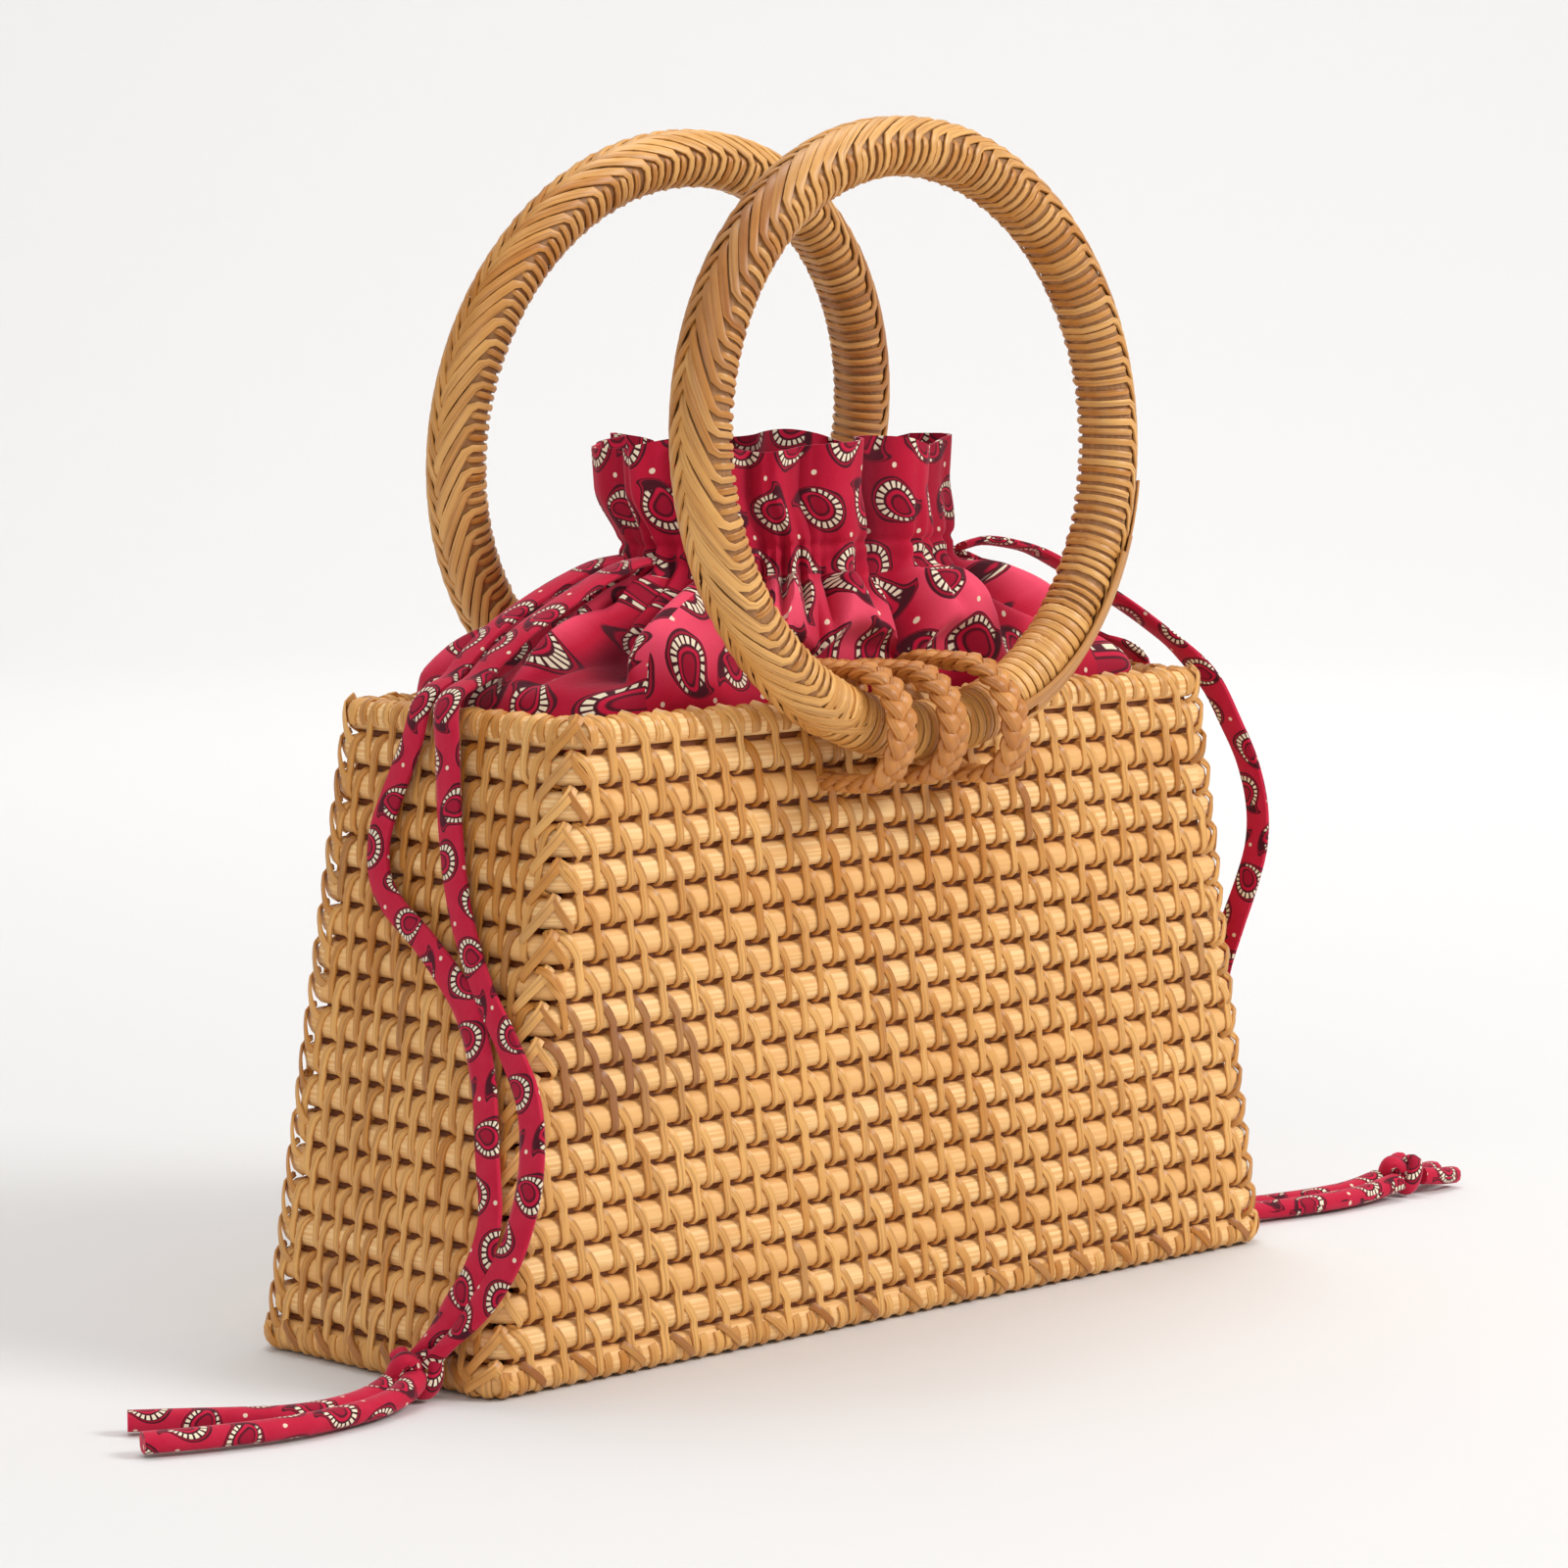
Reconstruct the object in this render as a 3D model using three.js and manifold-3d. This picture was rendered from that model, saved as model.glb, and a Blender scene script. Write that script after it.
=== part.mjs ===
// Rattan basket bag with two swinging ring handles and a drawstring pouch.
// Millimetres, +Z up. The origin is the middle of the underside. X runs along
// the bag, and the front faces -Y.
import * as THREE from 'three';
import { mergeVertices } from 'three/addons/utils/BufferGeometryUtils.js';
import Module from 'manifold-3d';

const wasm = await Module();
wasm.setup();

// Basket
const BASKET_HEIGHT = 160;
const BOTTOM_LENGTH = 284;
const TOP_LENGTH = 228;
const BASKET_DEPTH = 90;
const WALL = 8;              // a cane rod with the strips bound round it
const ROD_COUNT = 19;        // rods from the floor to the rim
const ROD_GROOVE = 1.4;      // how far the wall dips between two rods
const ROD_CROWN = 0.46;      // share of a rod's pitch that is at full thickness
const BASE_THICKNESS = 6;
const SEAM_GAP = 0.3;        // between pieces that are bound together

// Ring handles
const RING_RADIUS = 72;      // to the middle of the tube
const RING_TUBE_RADIUS = 8.2;
const HINGE_DROP = 6.7;      // of the hinge line below the rim
const HINGE_RISE = 1.8;      // of the hinge line above the middle of the tube's lowest point
const RING_WALL_GAP = 2.3;
const RUNNING_GAP = 0.6;
const FRONT_LEAN_DEG = 2.5;  // towards the middle of the bag
const BACK_LEAN_DEG = 8;
const FRONT_RING_X = -8;
const BACK_RING_X = 0;

// Braided loops that tie the rings to the rim
const LOOP_WIDTH = 8;
const LOOP_THICKNESS = 5;
const LOOP_CLEARANCE = 0.4;
const LOOP_CORNER_RADIUS = 5.5;
const BRAID_CHAMFER = 1.2;
const SLOT_HEADROOM = 2;     // above the loop, where it turns up inside the wall

// Cloth pouch
const CLOTH_WALL = 1.2;
const LINING_GAP = 0.8;
const DOME_HEIGHT = 31.5;     // from the rim to the drawn neck
const NECK_LENGTH = 100;
const NECK_DEPTH = 54;
const FRILL_HEIGHT = 30.5;
const FRILL_LENGTH = 108;
const FRILL_DEPTH = 60;
const GATHER_DEPTH = 2.2;
const GATHER_COUNT = 13;
const GATHER_DRIFT = 0.6;    // radians by which the folds stray from an even spacing
const FRILL_WAVE = 1.5;      // rise and fall of the frill's edge
const FRILL_WAVES = 5;
const BODY_SQUARE = 7;       // how square the pouch is inside the basket
const SEAM_SQUARE = 6;       // and at the rim, where its top is sewn on
const SEAM_GATHER = 0.15;    // share of the gathers' depth that is left at the rim

// Drawstrings, each a narrow sewn tape
const CORD_DIAMETER = 5;
const KNOT_GAP = 0.3;

// The row of loops on a ring, seen from the ring's own outer side
const LOOPS = [
  { side: 'left', offset: -21, slantDeg: 0 },
  { side: 'middle', offset: -2, slantDeg: -6 },
  { side: 'right', offset: 19, slantDeg: -12 },
];


// Levels of the dome: rise is a share of the dome's height, and length and
// depth say how much of the rim's size beyond the neck's is left
const DOME_LEVELS = [
  { rise: 0.24, length: 0.87, depth: 0.97, square: 4.5, gather: 0.2 },
  { rise: 0.46, length: 0.68, depth: 0.88, square: 3.6, gather: 0.4 },
  { rise: 0.68, length: 0.43, depth: 0.66, square: 3, gather: 0.7 },
  { rise: 0.86, length: 0.18, depth: 0.34, square: 2.4, gather: 1 },
  { rise: 1, length: 0, depth: 0, square: 2, gather: 1 },
];

// Levels of the frill: rise is a share of its height, flare a share of the
// step from the neck's size to the frill's
const FRILL_LEVELS = [
  { rise: 0, flare: 0, gather: 1 },
  { rise: 0.15, flare: 0.2, gather: 1.05 },
  { rise: 0.5, flare: 0.7, gather: 0.95 },
  { rise: 1, flare: 1, gather: 0.9 },
];

// Routes of the drawstrings, laid by hand: neck, dome, rim, end wall, knot
const CORD_ROUTES = {
  left_cord_a: [
    [-55, 3, 193.2], [-62, 5, 192], [-72, 7, 188], [-82, 8.5, 183], [-92, 9, 177.5],
    [-101, 8.5, 171.2], [-107, 7.5, 166.4], [-112.8, 7, 164.3], [-117.4, 7, 160.4], [-119.2, 8.5, 151.5],
    [-120.4, 13, 141], [-122.3, 17, 129], [-123.9, 15.5, 119], [-125.2, 9, 112], [-127, -6, 103.5],
    [-129.3, -22.5, 91], [-131.8, -31.5, 75.5], [-134.9, -36.5, 58], [-137.6, -40.3, 42.5],
    [-140.1, -37, 29], [-142, -30.5, 19.5], [-146.5, -24, 9],
  ],
  left_cord_b: [
    [-55, -5, 193.2], [-62, -5, 192], [-72, -4, 188], [-82, -3, 183], [-92, -2, 177.5],
    [-101, -1.5, 171.2], [-107, -1.5, 166.4], [-112.9, -2, 164.5], [-117.8, -3, 160.7], [-119.8, -5.5, 150],
    [-122.6, -9.7, 131], [-125.3, -16.1, 113], [-128.4, -27.5, 96], [-130.6, -39.6, 83],
    [-133, -49.5, 70.5], [-135.6, -52.8, 55], [-138.2, -50.8, 40.5], [-140, -46, 30],
    [-142.2, -38.6, 20], [-148, -30, 8.5],
  ],
  left_tail_a: [
    [-152, -25, 6], [-159, -27.3, 4.2], [-168, -30.2, 3.3], [-180, -32.3, 3.3], [-191, -30, 3.3],
    [-200, -23.8, 3.3], [-210, -15.8, 3.3], [-219.7, -8.6, 3.3],
  ],
  left_tail_b: [
    [-152, -30, 6], [-159, -34, 4.2], [-170, -37.6, 3.3], [-183.7, -39.6, 3.3], [-197, -39.2, 3.3],
    [-208, -36.6, 3.3], [-219, -33, 3.3], [-230, -28, 3.3],
  ],
  right_cord_a: [
    [55, -9, 193], [61.5, -11, 194.4], [70, -13, 193.3], [80, -14, 190.6], [92, -17, 184.3],
    [103.5, -21, 177.3], [110, -26, 171.5], [117, -32, 164], [123.5, -37, 155], [129, -39.5, 144],
    [134.4, -41, 133], [138, -41.5, 121], [138.6, -41, 110], [136.8, -39, 99], [135.5, -35, 87],
    [135.8, -30, 74], [138, -26, 56], [140.8, -23.5, 38], [143.6, -22.3, 21], [148, -22.2, 9.5],
    [156, -23.4, 4.2], [166, -25.5, 3.3], [178, -28, 3.3], [191, -29.4, 3.3], [204, -29.3, 3.6],
    [216, -29.6, 5],
  ],
  right_cord_b: [
    [55, 4, 193.4], [63, 4, 191.7], [73, 2.5, 187.8], [83, 0, 182.6], [93, -3.5, 176.8],
    [101.5, -7.5, 171], [107, -11, 166.4], [112.8, -14, 164.3], [117.4, -16, 160.4], [119.3, -16.5, 151],
    [121, -16, 140], [124.5, -14, 120], [128, -12, 100], [131.5, -10.5, 80], [135, -9.5, 60],
    [138.5, -9.5, 40], [142, -10.5, 21], [146.5, -12, 9], [155, -14.6, 4.2], [165, -17.4, 3.3],
    [178, -20.4, 3.3], [191, -22.2, 3.3], [204, -22.8, 3.6], [216, -23, 5.2],
  ],
  right_tail_a: [[228, -28.8, 5.2], [236, -29.4, 4.2], [244, -28, 3.4]],
  right_tail_b: [[228, -24, 5.2], [236, -22.6, 4.4], [244, -20.6, 4]],
};

const KNOTS = {
  left_knot: { centre: [-151, -27.5, 6.7], radii: [6.5, 8, 6.4] },
  right_knot: { centre: [222, -26.4, 6.5], radii: [8, 6.5, 6.2] },
};

const MATERIALS = {
  cane: new THREE.MeshStandardMaterial({ color: 0xe3b376, roughness: 0.55, metalness: 0 }),
  lashing: new THREE.MeshStandardMaterial({ color: 0xcf8f4c, roughness: 0.55, metalness: 0 }),
  cotton: new THREE.MeshStandardMaterial({ color: 0xc4163f, roughness: 0.85, metalness: 0 }),
};

const bag = new THREE.Group();
const rodPitch = BASKET_HEIGHT / ROD_COUNT;
const hingeHeight = BASKET_HEIGHT - HINGE_DROP;
const endSlope = (BOTTOM_LENGTH - TOP_LENGTH) / 2 / BASKET_HEIGHT;
const halfDepth = BASKET_DEPTH / 2;
const hingeY = halfDepth + RING_TUBE_RADIUS + RING_WALL_GAP;
const loopLegY = halfDepth - WALL - LOOP_CLEARANCE - LOOP_THICKNESS / 2;
const cornerSize = WALL;
const pouchInset = WALL + LINING_GAP + GATHER_DEPTH / 5;

function halfLengthAt(z) {
  return BOTTOM_LENGTH / 2 - endSlope * z;
}

// Give a mesh its name and finish, and hang it in the bag
function add(name, geometry, material, parent = bag) {
  const mesh = new THREE.Mesh(geometry, material);
  mesh.name = name;
  parent.add(mesh);
  return mesh;
}

// Turn a triangle list so that its faces point out
function facingOut(points, triangles) {
  let volume = 0;
  const a = new THREE.Vector3();
  const b = new THREE.Vector3();
  const c = new THREE.Vector3();
  for (const [i, j, k] of triangles) {
    a.fromArray(points[i]);
    b.fromArray(points[j]);
    c.fromArray(points[k]);
    volume += a.dot(b.cross(c));
  }
  return volume < 0 ? triangles.map(([i, j, k]) => [i, k, j]) : triangles;
}

function solidFrom(points, triangles) {
  const geometry = new THREE.BufferGeometry();
  geometry.setAttribute('position', new THREE.Float32BufferAttribute(points.flat(), 3));
  geometry.setIndex(facingOut(points, triangles).flat());
  geometry.computeVertexNormals();
  return geometry;
}

// Skin a row of equal rings of points; closed joins the last ring to the first
function skin(rings, closed = false) {
  const count = rings[0].length;
  const points = rings.flat();
  const triangles = [];
  const last = closed ? rings.length : rings.length - 1;
  for (let r = 0; r < last; r += 1) {
    const here = r * count;
    const there = ((r + 1) % rings.length) * count;
    for (let i = 0; i < count; i += 1) {
      const j = (i + 1) % count;
      triangles.push([here + i, here + j, there + j], [here + i, there + j, there + i]);
    }
  }
  return { points, triangles, count };
}

// A skin whose first and last rings are capped by the shape of a flat outline
function cappedSolid(rings, outline) {
  const { points, triangles, count } = skin(rings);
  const cap = THREE.ShapeUtils.triangulateShape(outline.map(([x, y]) => new THREE.Vector2(x, y)), []);
  const area = THREE.ShapeUtils.area(outline.map(([x, y]) => new THREE.Vector2(x, y)));
  const top = (rings.length - 1) * count;
  for (const [i, j, k] of cap) {
    const [p, q] = area > 0 ? [j, k] : [k, j];
    triangles.push([i, q, p], [top + i, top + p, top + q]);
  }
  return solidFrom(points, triangles);
}

// Section of a wall of rods: across counts in from the outer face, along
// counts up the wall
function rodSection(thickness, length, rods, flatInside = false) {
  const pitch = length / rods;
  const crownFoot = pitch * (1 - ROD_CROWN) / 2;
  const crownHead = pitch * (1 + ROD_CROWN) / 2;
  const outer = [];
  const inner = [];
  for (let rod = 0; rod < rods; rod += 1) {
    const foot = rod * pitch;
    outer.push([ROD_GROOVE, foot], [0, foot + crownFoot], [0, foot + crownHead]);
    inner.push([thickness - ROD_GROOVE, foot], [thickness, foot + crownFoot]);
    inner.push([thickness, foot + crownHead]);
  }
  outer.push([ROD_GROOVE, length]);
  inner.push([thickness - ROD_GROOVE, length]);
  const back = flatInside ? [[thickness, 0], [thickness, length]] : inner;
  return [...outer, ...back.reverse()];
}

function toManifold(geometry) {
  const plain = geometry.clone();
  plain.deleteAttribute('normal');
  plain.deleteAttribute('uv');
  const merged = mergeVertices(plain, 1e-4);
  return new wasm.Manifold(new wasm.Mesh({
    numProp: 3,
    vertProperties: Float32Array.from(merged.attributes.position.array),
    triVerts: Uint32Array.from(merged.index.array),
  }));
}

function fromManifold(solid) {
  const mesh = solid.getMesh();
  const geometry = new THREE.BufferGeometry();
  geometry.setAttribute('position', new THREE.BufferAttribute(Float32Array.from(mesh.vertProperties), 3));
  geometry.setIndex(new THREE.BufferAttribute(Uint32Array.from(mesh.triVerts), 1));
  geometry.computeVertexNormals();
  return geometry;
}

// Basket walls
const wallSection = rodSection(WALL, BASKET_HEIGHT, ROD_COUNT);

function longWall(side) {
  const ends = [-1, 1].map((end) => wallSection.map(([across, z]) => [
    end * (halfLengthAt(z) - cornerSize - SEAM_GAP), side * (halfDepth - across), z,
  ]));
  return cappedSolid(ends, wallSection);
}

function endWall(side) {
  const reach = halfDepth - cornerSize - SEAM_GAP;
  const ends = [-1, 1].map((end) => wallSection.map(([across, z]) => [
    side * (halfLengthAt(z) - across), end * reach, z,
  ]));
  return cappedSolid(ends, wallSection);
}

// Woven bottom, its underside level with the walls' feet
function basePanel() {
  const width = BASKET_DEPTH - 2 * (WALL + SEAM_GAP);
  const rods = Math.round(width / rodPitch);
  const section = rodSection(BASE_THICKNESS, width, rods, true);
  const ends = [-1, 1].map((end) => section.map(([across, along]) => {
    const z = BASE_THICKNESS - across;
    return [end * (halfLengthAt(z) - WALL - SEAM_GAP), along - width / 2, z];
  }));
  return cappedSolid(ends, section);
}

// Chevron-bound corner: a rounded post, waisted between rods
function cornerPost(sideX, sideY) {
  const arcSteps = 3;
  const outlineAt = (waist) => {
    const size = cornerSize - waist;
    const outline = [[waist, waist]];
    for (let step = 0; step <= arcSteps; step += 1) {
      const angle = (step / arcSteps) * Math.PI / 2;
      outline.push([waist + (size - waist) * Math.cos(angle), waist + (size - waist) * Math.sin(angle)]);
    }
    return outline;
  };
  const rings = [];
  for (let half = 0; half <= 2 * ROD_COUNT; half += 1) {
    const z = half * rodPitch / 2;
    const waist = half % 2 === 0 ? ROD_GROOVE / 2 : 0;
    rings.push(outlineAt(waist).map(([x, y]) => [
      sideX * (halfLengthAt(z) - cornerSize + x), sideY * (halfDepth - cornerSize + y), z,
    ]));
  }
  return cappedSolid(rings, outlineAt(0));
}

// Ring handle, lying in its group's XZ plane with the hinge line on X
function ringHandle() {
  const ring = new THREE.TorusGeometry(RING_RADIUS, RING_TUBE_RADIUS, 10, 40);
  ring.rotateX(Math.PI / 2);
  ring.translate(0, 0, RING_RADIUS - HINGE_RISE);
  return ring;
}

// How far a loop must stay from the hinge line to let the ring turn
function loopReach({ offset, slantDeg }) {
  const shift = Math.abs(Math.tan(THREE.MathUtils.degToRad(slantDeg))) * (RING_TUBE_RADIUS + LOOP_THICKNESS);
  const far = Math.abs(offset) + LOOP_WIDTH / 2 + shift;
  const climb = RING_RADIUS - Math.sqrt(RING_RADIUS ** 2 - far ** 2) - HINGE_RISE;
  return RING_TUBE_RADIUS + Math.max(HINGE_RISE, climb) + RUNNING_GAP;
}

// Middle line of a loop as seen along X: out round the ring, in over the rim
function loopLine(loop) {
  const radius = loopReach(loop) + LOOP_THICKNESS / 2;
  const line = [];
  const outSteps = 8;
  for (let step = 0; step <= outSteps; step += 1) {
    const angle = -Math.PI / 2 + (step / outSteps) * Math.PI;
    line.push({ out: hingeY + radius * Math.cos(angle), z: hingeHeight + radius * Math.sin(angle), turn: angle });
  }
  const corner = LOOP_CORNER_RADIUS;
  const cornerSteps = 3;
  for (const up of [1, -1]) {
    for (let step = 0; step <= cornerSteps; step += 1) {
      const share = up > 0 ? step / cornerSteps : 1 - step / cornerSteps;
      const angle = Math.PI / 2 + share * Math.PI / 2;
      line.push({
        out: loopLegY + corner + corner * Math.cos(angle),
        z: hingeHeight + up * (radius - corner + corner * Math.sin(angle)),
        turn: up * angle,
      });
    }
  }
  return line;
}

// Rounded flat section of a braid: wide along X, thin across the line
function braidSection() {
  const wide = LOOP_WIDTH / 2;
  const thin = LOOP_THICKNESS / 2;
  const flat = wide - BRAID_CHAMFER;
  const edge = thin - BRAID_CHAMFER;
  return [
    [wide, edge], [flat, thin], [-flat, thin], [-wide, edge],
    [-wide, -edge], [-flat, -thin], [flat, -thin], [wide, -edge],
  ];
}

// A loop in the group of its ring, where the ring's outer side faces -Y
function braidedLoop(loop) {
  const { offset, slantDeg } = loop;
  const slant = Math.tan(THREE.MathUtils.degToRad(slantDeg));
  const rings = loopLine(loop).map(({ out, z, turn }) => braidSection().map(([wide, thin]) => {
    const height = z + thin * Math.sin(turn);
    return [offset + wide + slant * (height - hingeHeight), -(out + thin * Math.cos(turn)), height];
  }));
  const { points, triangles } = skin(rings, true);
  return solidFrom(points, triangles);
}

// Slot in the wall that a loop passes through
function loopSlot(loop, ringX) {
  const { offset, slantDeg } = loop;
  const radius = loopReach(loop) + LOOP_THICKNESS / 2;
  const floor = hingeHeight - radius - LOOP_THICKNESS / 2 - LOOP_CLEARANCE;
  const height = LOOP_THICKNESS + 2 * LOOP_CLEARANCE + SLOT_HEADROOM;
  const slant = Math.tan(THREE.MathUtils.degToRad(slantDeg));
  const lean = Math.abs(slant) * height / 2;
  const slot = new THREE.BoxGeometry(LOOP_WIDTH + 2 * LOOP_CLEARANCE + 2 * lean, 3 * WALL, height);
  const x = ringX + offset + slant * (floor + height / 2 - hingeHeight);
  slot.translate(x, -(halfDepth - WALL / 2), floor + height / 2);
  return slot;
}

function slottedWall(ringX) {
  let wall = toManifold(longWall(-1));
  for (const loop of LOOPS) {
    wall = wall.subtract(toManifold(loopSlot(loop, ringX)));
  }
  return fromManifold(wall);
}

// The pouch's body hangs inside the basket, its dome is sewn on at the rim, and
// its frill stands above the casing where the drawstrings draw the neck in
function bodyLevels() {
  const foot = BASE_THICKNESS + LINING_GAP;
  return [[foot, BODY_SQUARE, 0], [BASKET_HEIGHT - SEAM_GAP / 2, SEAM_SQUARE, SEAM_GATHER]].map(
    ([z, square, gather]) => ({
      z, length: halfLengthAt(z) - pouchInset, depth: halfDepth - pouchInset, square, gather,
    }),
  );
}

function domeLevels() {
  const rimLength = halfLengthAt(BASKET_HEIGHT) - pouchInset;
  const rimDepth = halfDepth - pouchInset;
  const rim = { z: BASKET_HEIGHT + SEAM_GAP / 2, length: rimLength, depth: rimDepth };
  return [
    { ...rim, square: SEAM_SQUARE, gather: SEAM_GATHER },
    ...DOME_LEVELS.map(({ rise, length, depth, square, gather }) => ({
      z: rim.z + rise * (DOME_HEIGHT - SEAM_GAP),
      length: NECK_LENGTH / 2 + length * (rimLength - NECK_LENGTH / 2),
      depth: NECK_DEPTH / 2 + depth * (rimDepth - NECK_DEPTH / 2),
      square,
      gather,
    })),
  ];
}

function frillLevels() {
  const neck = BASKET_HEIGHT + DOME_HEIGHT + SEAM_GAP / 2;
  return FRILL_LEVELS.map(({ rise, flare, gather }) => ({
    z: neck + rise * FRILL_HEIGHT,
    length: (NECK_LENGTH + flare * (FRILL_LENGTH - NECK_LENGTH)) / 2,
    depth: (NECK_DEPTH + flare * (FRILL_DEPTH - NECK_DEPTH)) / 2,
    square: 2,
    gather,
    wave: rise,
  }));
}

// Room that the cloth leaves for the inner legs of the loops at one side
function loopRecess(x, z, ringX) {
  const half = Math.abs(LOOPS[0].offset) + LOOP_WIDTH;
  const along = THREE.MathUtils.smoothstep(half + LOOP_WIDTH - Math.abs(x - ringX), 0, LOOP_WIDTH);
  const topOfLoops = hingeHeight + loopReach(LOOPS[0]) + LOOP_THICKNESS;
  const up = THREE.MathUtils.smoothstep(topOfLoops + LOOP_THICKNESS - z, 0, LOOP_THICKNESS);
  return (LOOP_THICKNESS + LOOP_CLEARANCE + LINING_GAP) * along * up;
}

function pouchRing(level, thickness, tilt) {
  const columns = 4 * GATHER_COUNT;
  const spread = Math.sqrt(TOP_LENGTH / BASKET_DEPTH);
  const inward = thickness * tilt.across;
  const ring = [];
  for (let column = 0; column < columns; column += 1) {
    const angle = (column / columns) * 2 * Math.PI;
    const toX = spread * Math.cos(angle);
    const toY = Math.sin(angle);
    const drift = GATHER_DRIFT * Math.sin(3 * angle);
    const fold = level.gather * GATHER_DEPTH * Math.cos(GATHER_COUNT * angle + drift);
    const length = level.length + fold - inward;
    const depth = level.depth + fold - inward;
    const power = level.square;
    const reach = (Math.abs(toX / length) ** power + Math.abs(toY / depth) ** power) ** (-1 / power);
    const x = toX * reach;
    const recess = loopRecess(x, level.z, toY < 0 ? FRONT_RING_X : BACK_RING_X);
    const limit = halfDepth - WALL - LINING_GAP - recess - inward;
    const y = THREE.MathUtils.clamp(toY * reach, -limit, limit);
    const wave = (level.wave ?? 0) * FRILL_WAVE * Math.cos(FRILL_WAVES * angle + 1);
    ring.push([x, y, level.z + wave - thickness * tilt.up]);
  }
  return ring;
}

// How the wall leans at each level, to set the inside back square to it
function wallTilts(levels) {
  return levels.map((level, index) => {
    if (index === 0 || index === levels.length - 1) {
      return { across: 1, up: 0 };
    }
    const before = levels[index - 1];
    const after = levels[index + 1];
    const run = (after.length + after.depth - before.length - before.depth) / 2;
    const rise = after.z - before.z;
    const size = Math.hypot(run, rise);
    return { across: rise / size, up: Math.max(0, -run / size) };
  });
}

function pouchBody() {
  const levels = bodyLevels();
  const tilts = wallTilts(levels);
  tilts[0].up = -1;
  const outer = levels.map((level, index) => pouchRing(level, 0, tilts[index]));
  const inner = levels.map((level, index) => pouchRing(level, CLOTH_WALL, tilts[index]));
  const { points, triangles, count } = skin([...outer, ...inner.reverse()]);
  const lastRing = (2 * levels.length - 1) * count;
  points.push([0, 0, levels[0].z], [0, 0, levels[0].z + CLOTH_WALL]);
  for (let i = 0; i < count; i += 1) {
    const j = (i + 1) % count;
    triangles.push([j, i, points.length - 2], [lastRing + i, lastRing + j, points.length - 1]);
  }
  return solidFrom(points, triangles);
}

// A stretch of the pouch that is open at both ends
function pouchSleeve(levels) {
  const tilts = wallTilts(levels);
  const outer = levels.map((level, index) => pouchRing(level, 0, tilts[index]));
  const inner = levels.map((level, index) => pouchRing(level, CLOTH_WALL, tilts[index]));
  const { points, triangles } = skin([...outer, ...inner.reverse()], true);
  return solidFrom(points, triangles);
}

// Knots and drawstrings; a tape ends just short of the knot that it enters
function knot({ centre, radii }, gap = 0) {
  const ball = mergeVertices(new THREE.IcosahedronGeometry(1, 2).deleteAttribute('uv').deleteAttribute('normal'));
  ball.scale(...radii.map((radius) => radius + gap));
  ball.translate(...centre);
  ball.computeVertexNormals();
  return ball;
}

function cordTube(route) {
  const path = new THREE.CatmullRomCurve3(route.map((point) => new THREE.Vector3(...point)));
  const section = new THREE.Shape();
  const sides = 8;
  for (let side = 0; side < sides; side += 1) {
    const angle = (side / sides) * 2 * Math.PI;
    const draw = side === 0 ? 'moveTo' : 'lineTo';
    section[draw](CORD_DIAMETER / 2 * Math.cos(angle), CORD_DIAMETER / 2 * Math.sin(angle));
  }
  const steps = Math.ceil(path.getLength() / (2.5 * CORD_DIAMETER));
  return new THREE.ExtrudeGeometry(section, { steps, extrudePath: path, bevelEnabled: false });
}

function drawstring(name) {
  const knotName = name.startsWith('left') ? 'left_knot' : 'right_knot';
  const tube = toManifold(cordTube(CORD_ROUTES[name]));
  return fromManifold(tube.subtract(toManifold(knot(KNOTS[knotName], KNOT_GAP))));
}

// Basket
add('front_panel', slottedWall(FRONT_RING_X), MATERIALS.cane);
const turned = new THREE.Group();
turned.rotation.z = Math.PI;
bag.add(turned);
add('back_panel', slottedWall(-BACK_RING_X), MATERIALS.cane, turned);
add('left_panel', endWall(-1), MATERIALS.cane);
add('right_panel', endWall(1), MATERIALS.cane);
add('base_panel', basePanel(), MATERIALS.cane);
for (const [depthName, sideY] of [['front', -1], ['back', 1]]) {
  for (const [lengthName, sideX] of [['left', -1], ['right', 1]]) {
    add(`corner_${depthName}_${lengthName}`, cornerPost(sideX, sideY), MATERIALS.lashing);
  }
}

// Handles: the back one is the front one turned half round
for (const [name, ringX, leanDeg, home] of [
  ['front', FRONT_RING_X, FRONT_LEAN_DEG, bag],
  ['back', -BACK_RING_X, BACK_LEAN_DEG, turned],
]) {
  const lashed = new THREE.Group();
  lashed.position.set(ringX, 0, 0);
  home.add(lashed);
  for (const loop of LOOPS) {
    add(`${name}_loop_${loop.side}`, braidedLoop(loop), MATERIALS.lashing, lashed);
  }
  const hinge = new THREE.Group();
  hinge.position.set(0, -hingeY, hingeHeight);
  hinge.rotation.x = -THREE.MathUtils.degToRad(leanDeg);
  lashed.add(hinge);
  add(`handle_${name}`, ringHandle(), MATERIALS.cane, hinge);
}

// Cloth
add('pouch_body', pouchBody(), MATERIALS.cotton);
add('pouch_dome', pouchSleeve(domeLevels()), MATERIALS.cotton);
add('pouch_frill', pouchSleeve(frillLevels()), MATERIALS.cotton);
for (const [name, shape] of Object.entries(KNOTS)) {
  add(name, knot(shape), MATERIALS.cotton);
}
for (const name of Object.keys(CORD_ROUTES)) {
  add(name, drawstring(name), MATERIALS.cotton);
}

export default bag;
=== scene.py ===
from functools import partial
import math

import bpy
import numpy as np
from mathutils import Matrix, Vector


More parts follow.
